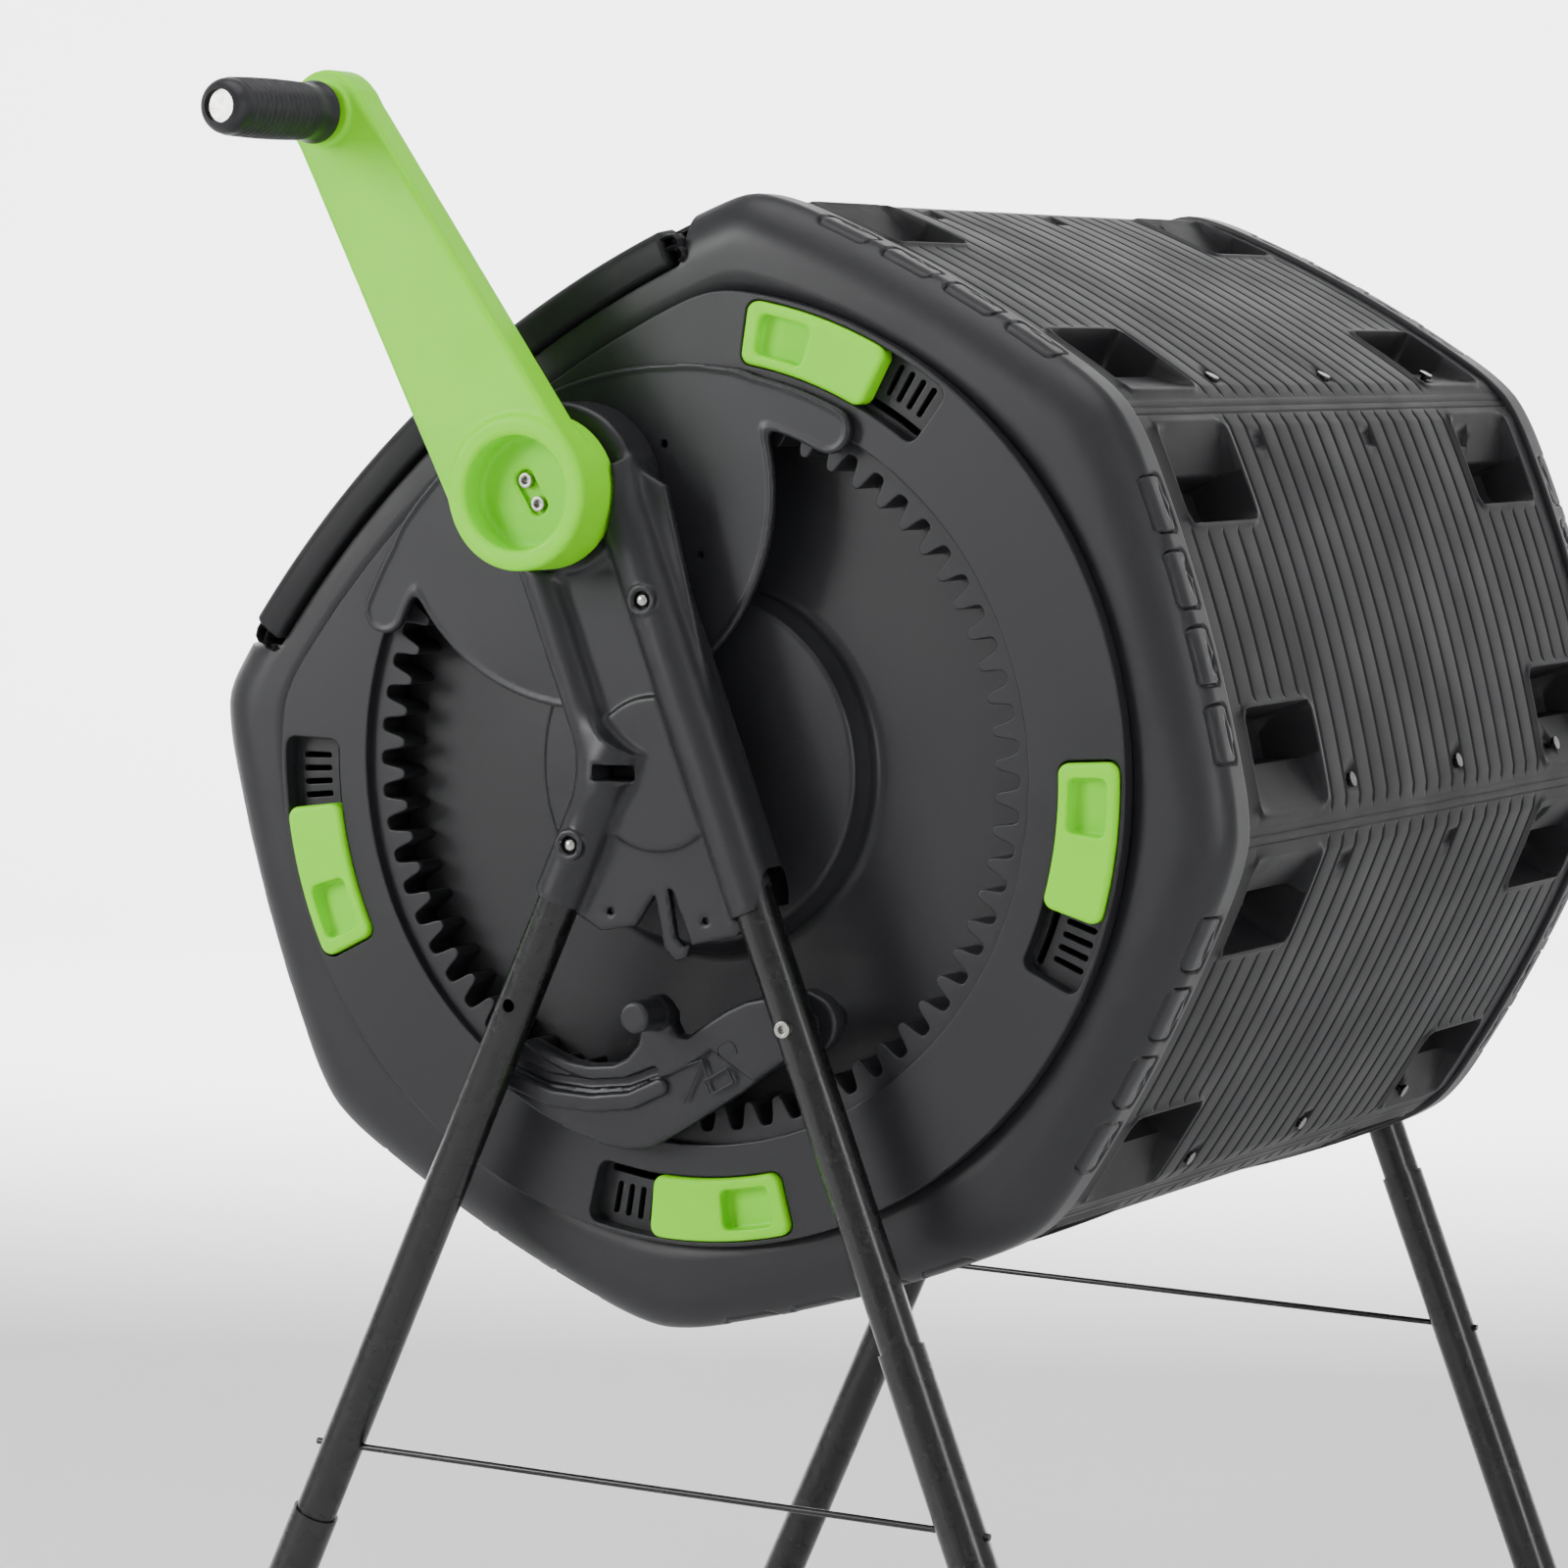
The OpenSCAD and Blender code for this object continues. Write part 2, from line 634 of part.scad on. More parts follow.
module crank_arm() color(lime) on_crank() rotate([crank_lean, 0, 0]) difference() {
    union() {
        bar(hub_back, hub_front, crank_hub_d / 2);
        across(hub_front - 29, hub_front - 1) {
            polygon([[-42, 0], [-25, crank_throw], [25, crank_throw], [42, 0]]);
            translate([0, crank_throw]) circle(r = 25, $fn = 96);
        }
    }
    bar(hub_front - 15, hub_front + 1, crank_hub_d * 0.37);
    across(hub_front - 17, hub_front + 1) {
        for (z = [-8, 8]) translate([0, z]) circle(r = 6.4, $fn = 48);
        translate([-6.4, -8]) square([12.8, 16]);
    }
    bar(hub_back - 1, hub_back + 14, shaft_r, undef, 64);
    for (z = [-8, 8]) translate([0, 0, z]) bar(hub_back, hub_front, 2.75, undef, 24);
    translate([0, 0, crank_throw]) bar(hub_front - 30, hub_front + 1, 6.05, undef, 48);
}

// one pinion tooth pointing along +Y
module pinion_tooth() {
    w = PI * tooth_m / 4 - backlash / 4;
    flank = [[pinion_root_r - 1, 0], [pinion_r - 0.9 * tooth_m, -0.13], [pinion_r - 0.7 * tooth_m, -0.12],
             [pinion_r - 0.2 * tooth_m, 0], [pinion_r + 0.2 * tooth_m, 0],
             [pinion_r + 0.6 * tooth_m, -0.15], [pinion_tip_r, -0.46]];
    polygon(concat(
        [for (p = flank) [p[0], -w - p[1] * tooth_m]],
        [for (i = [len(flank) - 1:-1:0]) [flank[i][0], w + flank[i][1] * tooth_m]]
    ));
}

// the turn that sets a pinion tooth into a gap of the ring
gap_step = 360 / ring_teeth;
gap_phase = crank_angle - drum_turn - gap_step * round((crank_angle - drum_turn) / gap_step);
pinion_turn = crank_angle - gap_phase * ring_teeth / pinion_teeth;

module pinion() color(steel) on_crank() difference() {
    union() {
        across(half + floor_x + 3, half + land_x - 1) rotate(pinion_turn) {
            circle(r = pinion_root_r, $fn = 96);
            for (i = [0:pinion_teeth - 1]) rotate(i * 360 / pinion_teeth) pinion_tooth();
        }
        bar(half + land_x - 1 - eps, hub_back + 13.6, shaft_r, undef, 64);
    }
    rotate([crank_lean, 0, 0]) for (z = [-8, 8]) translate([0, 0, z])
        bar(hub_back - 8, hub_back + 14, 2.6, undef, 24);
}

module crank_screws() color(steel) on_crank() rotate([crank_lean, 0, 0]) for (z = [-8, 8])
    translate([0, 0, z]) difference() {
        union() {
            bar(hub_back - 7, hub_front - 16.9, 2.5, undef, 24);
            bar(hub_front - 17, hub_front - 11.5, 4.6, undef, 32);
        }
        bar(hub_front - 14.5, hub_front - 11, 2.3, undef, 6);
    }

module on_grip() on_crank() rotate([crank_lean, 0, 0]) translate([0, 0, crank_throw]) children();

module crank_grip() color(plastic) on_grip() difference() {
    union() {
        bar(hub_front + 2, hub_front + 8, grip_r + 3, grip_r + 1);
        bar(hub_front + 8 - eps, hub_front + 0.45 * grip_l, grip_r - 1, grip_r + 1.5);
        bar(hub_front + 0.45 * grip_l - eps, hub_front + grip_l - 6, grip_r + 1.5, grip_r);
        bar(hub_front + grip_l - 6 - eps, hub_front + grip_l, grip_r, grip_r - 4);
    }
    bar(hub_front + 1, hub_front + grip_l + 1, 6.05, undef, 48);
    bar(hub_front + grip_l - 9, hub_front + grip_l + 1, 10, undef, 48);
}

module grip_pin() color(steel) on_grip() {
    bar(hub_front - 28, hub_front + grip_l - 8.5, 6, undef, 48);
    bar(hub_front + grip_l - 8.6, hub_front + grip_l - 3, 9.5, undef, 48);
}

// ---- lock lever ------------------------------------------------------------------------------

module on_pivot() on_axle() translate([0, pivot_y, pivot_z]) children();

// the ring gap that the lever's peg drops into, and the peg's place when locked
lock_gap = drum_turn + gap_step * round((-107 - drum_turn) / gap_step);
peg_place = [(ring_pitch_r - 1.8) * cos(lock_gap) + 1.0, (ring_pitch_r - 1.8) * sin(lock_gap) - 0.3];

module lock_lever() color(plastic) on_pivot() {
    difference() {
        union() {
            across(lever_x, lever_x + lever_t) difference() {
                union() {
                    polygon(lever_k * [
                        [-16, 13], [-30, 10], [-43, 6], [-55, 0], [-68, -6], [-81, -15], [-92, -11], [-98, -4],
                        [-108, -2], [-114, -8], [-114, -24], [-120, -31], [-133, -36], [-150, -37], [-168, -34],
                        [-185, -28], [-196, -40], [-201, -58], [-184, -69], [-160, -79], [-136, -86],
                        [-119, -87], [-105, -84], [-86, -73], [-53, -51], [-14, -23], [0, -19], [0, 13]
                    ]);
                    circle(r = 19, $fn = 64);
                }
                lever_slot();
            }
            across(lever_x, lever_x + 5) intersection() {
                translate([-130, -52]) circle(r = 26, $fn = 48);
                polygon([[-160, -40], [-100, -40], [-100, -64], [-160, -64]]);
            }
            translate([0, -101, -1]) bar(lever_x + lever_t - eps, lever_x + lever_t + 29, 10);
            rotate([-lock_turn, 0, 0]) translate([0, peg_place[0] - pivot_y, peg_place[1] - pivot_z])
                bar(half + floor_x + 6, lever_x + 1, peg_r, undef, 32);
        }
        bar(lever_x - 1, lever_x + lever_t + 1, 4.1, undef, 32);
    }
}

// the long slot that makes the lever's lower rail springy
module lever_slot() {
    bow = [-140, 44];
    intersection() {
        translate(bow) difference() {
            circle(r = 103, $fn = 180);
            circle(r = 89, $fn = 180);
        }
        polygon([bow, bow + 200 * [cos(-117), sin(-117)], bow + 200 * [cos(-90), sin(-90)],
                 bow + 200 * [cos(-70), sin(-70)]]);
    }
}

module lever_bolt() color(steel) on_pivot() {
    bar(half + 5, leg_x + leg_d / 2 + 1, 4, undef, 32);
    bar(leg_x + leg_d / 2 + 0.9, leg_x + leg_d / 2 + 4, 5.2, undef, 48);
    bar(half + 4, half + 9, 7, undef, 6);
}

module lever_spacer() color("#222224") on_pivot() difference() {
    union() {
        bar(half + 9.2, half + 10.8, 10.5, undef, 48);
        bar(half + 10.7, lever_x - 0.4, 9, undef, 48);
        bar(lever_x + lever_t + 0.4, leg_x - leg_d / 2 + 1, 8, undef, 48);
    }
    bar(half + 8, leg_x, 4.05, undef, 32);
    on_pivot_leg_clear();
}

// the round of the leg tube, taken out of the spacer that bears on it
module on_pivot_leg_clear() turned(leg_lean) translate([leg_x, 0, -40]) cylinder(h = 80, r = leg_d / 2, $fn = 64);

// ---- nodes --------------------------------------------------------------------------------------

placed() crank_end_cap();
placed() rear_end_cap();
for (k = [1:6]) placed() side_panel(k);
placed() door_frame();
placed() crank_end_door();
placed() rear_end_door();
placed() divider_wall();
placed() axle_tube();
placed() panel_screws();
for (k = [1:4]) placed() vent_slider(1, k);
for (k = [1:4]) placed() vent_slider(-1, k);
placed() crank_bracket();
placed() rear_bracket();
placed() gear_shield();
placed() axle_bushes();
placed() crank_straight_leg();
placed() crank_bent_leg();
placed() rear_straight_leg();
placed() rear_bent_leg();
placed() crank_straight_lower_leg();
placed() crank_bent_lower_leg();
placed() rear_straight_lower_leg();
placed() rear_bent_lower_leg();
placed() leg_feet();
placed() tie_rods();
placed() snap_buttons();
placed() crank_arm();
placed() pinion();
placed() crank_screws();
placed() crank_grip();
placed() grip_pin();
placed() lock_lever();
placed() lever_bolt();
placed() lever_spacer();
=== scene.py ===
"""Looks of the geared compost tumbler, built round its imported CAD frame.

Lengths inside the builders are millimetres measured from the axle: x runs outward
from the corner plane of an end cap (or from the middle of the drum), y and z lie
across the axle. They become metres of the shared frame in Place.
"""
from __future__ import annotations

import json
import logging
import math
from collections.abc import Callable, Sequence
from dataclasses import dataclass
from enum import Enum

import bpy
import numpy as np
from mathutils import Matrix, Vector, geometry

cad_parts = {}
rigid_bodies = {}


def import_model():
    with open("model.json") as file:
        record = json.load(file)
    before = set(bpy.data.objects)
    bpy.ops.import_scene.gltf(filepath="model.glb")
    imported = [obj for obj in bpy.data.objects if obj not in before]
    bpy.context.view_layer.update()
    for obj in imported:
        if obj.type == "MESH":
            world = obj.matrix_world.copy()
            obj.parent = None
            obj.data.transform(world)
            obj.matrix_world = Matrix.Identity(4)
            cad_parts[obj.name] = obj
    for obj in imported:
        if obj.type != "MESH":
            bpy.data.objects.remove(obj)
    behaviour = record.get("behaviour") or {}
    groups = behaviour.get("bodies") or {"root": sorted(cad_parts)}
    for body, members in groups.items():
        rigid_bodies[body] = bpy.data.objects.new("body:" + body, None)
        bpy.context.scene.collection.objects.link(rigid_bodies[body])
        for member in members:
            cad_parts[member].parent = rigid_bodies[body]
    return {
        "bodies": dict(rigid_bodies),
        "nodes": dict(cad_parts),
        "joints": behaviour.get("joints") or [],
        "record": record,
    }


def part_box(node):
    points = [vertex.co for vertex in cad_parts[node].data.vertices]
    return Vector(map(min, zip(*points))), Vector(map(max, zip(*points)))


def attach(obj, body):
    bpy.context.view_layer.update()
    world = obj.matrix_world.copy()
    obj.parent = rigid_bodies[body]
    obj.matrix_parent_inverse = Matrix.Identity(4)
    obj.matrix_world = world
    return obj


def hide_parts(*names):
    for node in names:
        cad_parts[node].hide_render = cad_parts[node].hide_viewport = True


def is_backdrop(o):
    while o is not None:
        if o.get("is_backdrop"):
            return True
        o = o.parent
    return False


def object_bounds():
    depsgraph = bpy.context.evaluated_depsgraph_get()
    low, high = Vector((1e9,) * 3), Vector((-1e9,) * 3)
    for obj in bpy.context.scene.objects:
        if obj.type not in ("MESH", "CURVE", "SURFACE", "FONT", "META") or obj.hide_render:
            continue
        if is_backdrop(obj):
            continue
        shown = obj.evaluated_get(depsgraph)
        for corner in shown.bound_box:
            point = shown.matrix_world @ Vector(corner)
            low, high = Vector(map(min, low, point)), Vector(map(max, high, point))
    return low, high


LOG = logging.getLogger("tumbler")

Array = np.ndarray
Field3D = Callable[[Array, Array, Array], Array]
Point = Sequence[float]
Socket = bpy.types.NodeSocket


class End(Enum):
    """The two ends of the drum."""

    CRANK = 1
    REAR = -1

    @property
    def prefix(self) -> str:
        """Start of the node names that belong to this end."""
        return "crank_end" if self is End.CRANK else "rear_end"


@dataclass(frozen=True)
class Drum:
    """Shape of the drum in its own frame, in millimetres and degrees."""

    corner: float = 347.0
    side_bow: float = 9.0
    door_bow: float = 45.0
    turn: float = -3.6
    door_side: float = 135.0
    rim: float = 30.0
    disc_r: float = 285.9
    window_in: float = 244.1
    window_out: float = 282.8
    land_r: float = 224.2
    ring_pitch: float = 207.85
    ring_teeth: int = 66
    disc_x: float = 20.0
    land_x: float = 14.0
    floor_x: float = -12.0
    panel_in: float = 3.3
    slider_angle: float = 19.6
    window_angle: float = 29.0
    vent_step: float = 78.3
    tab_pitch: float = 46.0

    @property
    def sides(self) -> Array:
        """Directions of the six flat sides."""
        return 67.5 - 45.0 * np.arange(6)

    @property
    def vents(self) -> Array:
        """Directions of the four vents of an end cap."""
        return -45.0 + (1.5 - np.arange(4)) * self.vent_step

    @staticmethod
    def _arc(flat: float, half_width: float, bow: float) -> tuple[float, float]:
        """Radius and centre distance of a bowed side."""
        radius = (half_width**2 + bow**2) / (2 * bow)
        return radius, flat + bow - radius

    @property
    def side_arc(self) -> tuple[float, float]:
        """Radius of a flat side's bow, and how far its centre is from the axle."""
        return self._arc(
            self.corner * math.cos(math.radians(22.5)),
            self.corner * math.sin(math.radians(22.5)),
            self.side_bow,
        )

    @property
    def door_arc(self) -> tuple[float, float]:
        """The same for the door side."""
        return self._arc(
            self.corner * math.cos(math.pi / 4),
            self.corner * math.sin(math.pi / 4),
            self.door_bow,
        )

    def outline(self, theta: Array, inset: Array | float) -> Array:
        """Distance from the axle to the drum's outline.

        Args:
            theta: Directions in the drum's frame, in radians.
            inset: How far inside the outline, broadcast with theta.

        Returns:
            Radii in millimetres, with softened corners.
        """
        arcs = [(math.radians(a), *self.side_arc) for a in self.sides]
        arcs.append((math.radians(self.door_side), *self.door_arc))
        radius = np.broadcast_to(self.corner - 3.0 - inset, np.broadcast(theta, inset).shape)
        for direction, arc_r, centre in arcs:
            turn = theta - direction
            root = (arc_r - inset) ** 2 - (centre * np.sin(turn)) ** 2
            ray = centre * np.cos(turn) + np.sqrt(np.maximum(root, 0.0))
            radius = smooth_min(radius, ray, 5.0)
        return radius


# ---- placing and meshes ----------------------------------------------------


@dataclass(frozen=True)
class Layout:
    """Axes of the moving pieces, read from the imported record."""

    axle: Array
    half: float
    crank: Array
    grip: Array
    pivot: Array

    @classmethod
    def read(cls, frame: dict) -> "Layout":
        """Args:

        Returns:
            The layout, with the axle in metres and the rest in millimetres from it.
        """
        joints = {j["name"]: np.array(j["pos_m"]) for j in frame["joints"] if j.get("pos_m")}
        axle = joints["drum_turn"]
        crank = (joints["crank_turn"] - axle) * 1000
        return cls(
            axle=axle,
            half=float(crank[0]),
            crank=crank[1:],
            grip=(joints["grip_turn"] - axle)[1:] * 1000,
            pivot=(joints["lock_lever_turn"] - axle)[1:] * 1000,
        )


@dataclass(frozen=True)
class Place:
    """Carries points from a piece's own millimetres into the shared frame."""

    layout: Layout
    end: End | None = None
    turn: float = 0.0
    origin: tuple[float, float] = (0.0, 0.0)

    def __call__(self, points: Array) -> Array:
        """Args:
            points: (..., 3) array in millimetres.

        Returns:
            The same points in metres.
        """
        angle = math.radians(self.turn)
        x, y, z = points[..., 0], points[..., 1], points[..., 2]
        out = np.empty(points.shape)
        out[..., 0] = x if self.end is None else self.end.value * (self.layout.half + x)
        out[..., 1] = y * math.cos(angle) - z * math.sin(angle) + self.origin[0]
        out[..., 2] = y * math.sin(angle) + z * math.cos(angle) + self.origin[1]
        return out / 1000 + self.layout.axle


@dataclass
class Solid:
    """A closed mesh in the making: points and quads or triangles."""

    points: Array
    faces: list[Array]

    @staticmethod
    def join(parts: Sequence["Solid"]) -> "Solid":
        """One solid from several, kept as separate shells."""
        points, faces, base = [], [], 0
        for part in parts:
            points.append(part.points)
            faces += [f + base for f in part.faces]
            base += len(part.points)
        return Solid(np.concatenate(points), faces)

    def moved(self, place: Callable[[Array], Array]) -> "Solid":
        """The solid with its points carried by place, its faces outward."""
        out = Solid(place(self.points), list(self.faces))
        if out.volume() < 0:
            out.faces = [f[:, ::-1] for f in out.faces]
        return out

    def volume(self) -> float:
        """Signed volume, which is negative if the faces look inward."""
        total = 0.0
        for f in self.faces:
            for k in range(1, f.shape[1] - 1):
                a, b, c = (self.points[f[:, i]] for i in (0, k, k + 1))
                total += float(np.einsum("ij,ij->i", a, np.cross(b, c)).sum())
        return total / 6

    def to_object(self, name: str, material: bpy.types.Material, sharp: float = 38.0) -> bpy.types.Object:
        """Makes the Blender object.

        Args:
            name: Name of the piece.
            material: Its material.
            sharp: Edges that turn by more than this many degrees stay sharp.

        Returns:
            The object, linked into the scene at the origin.
        """
        mesh = bpy.data.meshes.new(name)
        loops = np.concatenate([f.ravel() for f in self.faces]).astype(np.int32)
        totals = np.concatenate([np.full(len(f), f.shape[1]) for f in self.faces])
        starts = (np.cumsum(totals) - totals).astype(np.int32)
        mesh.vertices.add(len(self.points))
        mesh.vertices.foreach_set("co", self.points.astype(np.float32).ravel())
        mesh.loops.add(len(loops))
        mesh.loops.foreach_set("vertex_index", loops)
        mesh.polygons.add(len(starts))
        mesh.polygons.foreach_set("loop_start", starts)
        mesh.update(calc_edges=True)
        mesh.validate()
        mesh.polygons.foreach_set("use_smooth", np.ones(len(mesh.polygons), dtype=bool))
        mesh.set_sharp_from_angle(angle=math.radians(sharp))
        mesh.materials.append(material)
        obj = bpy.data.objects.new(name, mesh)
        bpy.context.scene.collection.objects.link(obj)
        return obj


def weld(points: Array, quads: Array) -> Solid:
    """Merges points that coincide and drops the sides that fold away.

    Args:
        points: (n, 3) points.
        quads: (m, 4) indices.

    Returns:
        A solid of quads and of the triangles left where a row met in a pole.
    """
    _, first, index = np.unique(np.round(points, 4), axis=0, return_index=True, return_inverse=True)
    points, quads = points[first], index.ravel()[quads]
    same = quads == np.roll(quads, -1, axis=1)
    faces = [quads[~same.any(axis=1)]]
    for corner in range(4):
        keep = [k for k in range(4) if k != corner]
        faces.append(quads[same[:, corner] & (same.sum(axis=1) == 1)][:, keep])
    return Solid(points, [f for f in faces if len(f)])


def grid_quads(rows: int, columns: int, wrap_rows: bool = False, wrap_columns: bool = False) -> Array:
    """Indices of the quads of a grid of points stored row by row."""
    i = np.arange(rows if wrap_rows else rows - 1)
    j = np.arange(columns if wrap_columns else columns - 1)
    i, j = (a.ravel() for a in np.meshgrid(i, j, indexing="ij"))
    i2, j2 = (i + 1) % rows, (j + 1) % columns
    return np.stack([i * columns + j, i2 * columns + j, i2 * columns + j2, i * columns + j2], axis=1)


def tube_of_rings(rings: Array, closed_path: bool = False) -> Solid:
    """A solid from rings of points.

    Args:
        rings: (k, n, 3) rings. A path that isn't closed gets its two ends filled.
        closed_path: Whether the last ring joins the first.

    Returns:
        The solid.
    """
    k, n, _ = rings.shape
    if not closed_path:
        ends = [np.broadcast_to(rings[i].mean(axis=0), (1, n, 3)) for i in (0, -1)]
        rings = np.concatenate([ends[0], rings, ends[1]])
        k += 2
    return weld(rings.reshape(-1, 3), grid_quads(k, n, closed_path, True))


def revolve(profile: Array, segments: int = 96) -> Solid:
    """Turns a closed profile of (x, r) points about the x axis."""
    angle = np.linspace(0, 2 * np.pi, segments, endpoint=False)[:, None]
    x, r = np.asarray(profile, float).T
    ring = np.stack([x + 0 * angle, r * np.cos(angle), r * np.sin(angle)], axis=-1)
    return weld(ring.reshape(-1, 3), grid_quads(segments, len(x), True, True))


def shell(outer: Array, thickness: float) -> Solid:
    """Closes a grid of surface points into a sheet.

    Args:
        outer: (a, b, 3) surface points.
        thickness: How far the back lies behind the surface, against its normals.

    Returns:
        The closed sheet.
    """
    du, dv = np.gradient(outer, axis=0), np.gradient(outer, axis=1)
    normal = np.cross(du, dv)
    normal /= np.linalg.norm(normal, axis=-1, keepdims=True) + 1e-12
    inner = outer - thickness * normal
    a, b, _ = outer.shape
    face = grid_quads(a, b)
    edge = np.concatenate([
        np.arange(b), np.arange(1, a) * b + b - 1,
        (a - 1) * b + np.arange(b - 2, -1, -1), np.arange(a - 2, 0, -1) * b,
    ])
    nxt = np.roll(edge, -1)
    wall = np.stack([edge, nxt, nxt + a * b, edge + a * b], axis=1)
    points = np.concatenate([outer.reshape(-1, 3), inner.reshape(-1, 3)])
    return Solid(points, [face[:, ::-1], face + a * b, wall])


def offset_loop(loop: Array, amount: float) -> Array:
    """A closed 2D loop moved to its left by amount, corner by corner."""
    ahead = np.roll(loop, -1, axis=0) - loop
    ahead /= np.linalg.norm(ahead, axis=1, keepdims=True) + 1e-12
    behind = np.roll(ahead, 1, axis=0)
    left = np.stack([-ahead[:, 1] - behind[:, 1], ahead[:, 0] + behind[:, 0]], axis=1)
    size = (left**2).sum(axis=1, keepdims=True)
    return loop + amount * 2 * left / np.maximum(size, 0.8)


def fill(loops: Sequence[Array]) -> Array:
    """Triangles that fill the first loop and leave the others open.

    Args:
        loops: Loops of (n, 3) points, filled as seen along x.

    Returns:
        (m, 3) indices into the joined loops, counter-clockwise.
    """
    flat = np.concatenate([loop[:, 1:] for loop in loops])
    edges, base = [], 0
    for loop in loops:
        index = np.arange(len(loop))
        edges.append(np.stack([index, np.roll(index, -1)], axis=1) + base)
        base += len(loop)
    points = [Vector(p) for p in flat.tolist()]
    made = geometry.delaunay_2d_cdt(points, np.concatenate(edges).tolist(), [], 0, 1e-6, True)
    origin = np.array([ids[0] for ids in made[3]])
    tri = origin[np.array(made[2])]
    middle = flat[tri].mean(axis=1)
    outlines = [[tuple(c) for c in loop[:, 1:]] for loop in loops]
    inside = polygon_field(*middle.T, outlines[0]) < 0
    for hole in outlines[1:]:
        inside &= polygon_field(*middle.T, hole) > 0
    tri = tri[inside]
    corner = flat[tri]
    area = np.cross(corner[:, 1] - corner[:, 0], corner[:, 2] - corner[:, 0])
    tri[area < 0] = tri[area < 0][:, ::-1]
    return tri


# width of the flat ring between a plate's rounding and its filled face
PLATE_LIP = 0.35


def plate(outer: Array, holes: Sequence[Array], x0: float, x1: float, bevel: float = 1.5) -> Solid:
    """A flat plate with rounded edges between two levels.

    Args:
        outer: (n, 2) outline in y and z, counter-clockwise.
        holes: Outlines of the holes, clockwise.
        x0: Back level.
        x1: Front level.
        bevel: Radius of the rounding of every edge.

    Returns:
        The closed plate.
    """
    turn = np.linspace(0, np.pi / 2, 5)
    lip = [bevel + PLATE_LIP]
    inset = np.concatenate([lip, bevel * (1 - np.sin(turn)), bevel * (1 - np.cos(turn)), lip])
    level = np.concatenate([[x0], x0 + bevel * (1 - np.cos(turn)), x1 - bevel * (1 - np.sin(turn)), [x1]])
    points, faces, base = [], [], 0
    fronts, backs, front_ids, back_ids = [], [], [], []
    for loop in [outer, *holes]:
        n, rows = len(loop), len(inset)
        ring = np.stack([offset_loop(loop, i) for i in inset])
        solid = np.concatenate([np.broadcast_to(level[:, None, None], (rows, n, 1)), ring], axis=-1)
        points.append(solid.reshape(-1, 3))
        faces.append(grid_quads(rows, n, False, True)[:, ::-1] + base)
        backs.append(solid[0])
        fronts.append(solid[-1])
        back_ids.append(base + np.arange(n))
        front_ids.append(base + (rows - 1) * n + np.arange(n))
        base += rows * n
    for loops, ids, flip in ((fronts, front_ids, False), (backs, back_ids, True)):
        tri = np.concatenate(ids)[fill(loops)]
        faces.append(tri[:, ::-1] if flip else tri)
    return Solid(np.concatenate(points), faces)


# ---- distance fields -------------------------------------------------------


def smooth_min(a: Array, b: Array, k: float) -> Array:
    """The smaller of two fields, with a fillet about k wide where they cross."""
    h = np.clip(k - np.abs(a - b), 0, None) / k
    return np.minimum(a, b) - h * h * k / 4


def smooth_max(a: Array, b: Array, k: float) -> Array:
    """The larger of two fields, with a rounding about k wide where they cross."""
    return -smooth_min(-a, -b, k)


def disc_field(y: Array, z: Array, centre: Sequence[float], radius: float) -> Array:
    """Distance to a circle."""
    return np.hypot(y - centre[0], z - centre[1]) - radius


def box_field(y: Array, z: Array, centre: Sequence[float], half: Sequence[float], radius: float) -> Array:
    """Distance to a rectangle with rounded corners."""
    dy = np.abs(y - centre[0]) - half[0] + radius
    dz = np.abs(z - centre[1]) - half[1] + radius
    return np.hypot(np.maximum(dy, 0), np.maximum(dz, 0)) + np.minimum(np.maximum(dy, dz), 0) - radius


def segment_field(y: Array, z: Array, a: Sequence[float], b: Sequence[float], radius: float) -> Array:
    """Distance to a straight stroke with round ends."""
    ay, az, by, bz = *a, *b
    along = ((y - ay) * (by - ay) + (z - az) * (bz - az)) / ((by - ay) ** 2 + (bz - az) ** 2)
    along = np.clip(along, 0, 1)
    return np.hypot(y - ay - along * (by - ay), z - az - along * (bz - az)) - radius


def polygon_field(y: Array, z: Array, corners: Sequence[Sequence[float]]) -> Array:
    """Signed distance to a polygon."""
    distance = np.full(np.broadcast(y, z).shape, 1e9)
    inside = np.zeros(np.broadcast(y, z).shape, dtype=bool)
    for a, b in zip(corners, [*corners[1:], corners[0]]):
        distance = np.minimum(distance, segment_field(y, z, a, b, 0.0))
        crosses = (a[1] > z) != (b[1] > z)
        if a[1] != b[1]:
            inside ^= crosses & (y < (b[0] - a[0]) * (z - a[1]) / (b[1] - a[1]) + a[0])
    return np.where(inside, -distance, distance)


def slab(flat: Array, x: Array, x0: float, x1: float, radius: float) -> Array:
    """A flat field carried from x0 to x1 with rounded edges."""
    across = flat + radius
    along = np.abs(x - (x0 + x1) / 2) - (x1 - x0) / 2 + radius
    outside = np.hypot(np.maximum(across, 0), np.maximum(along, 0))
    return outside + np.minimum(np.maximum(across, along), 0) - radius


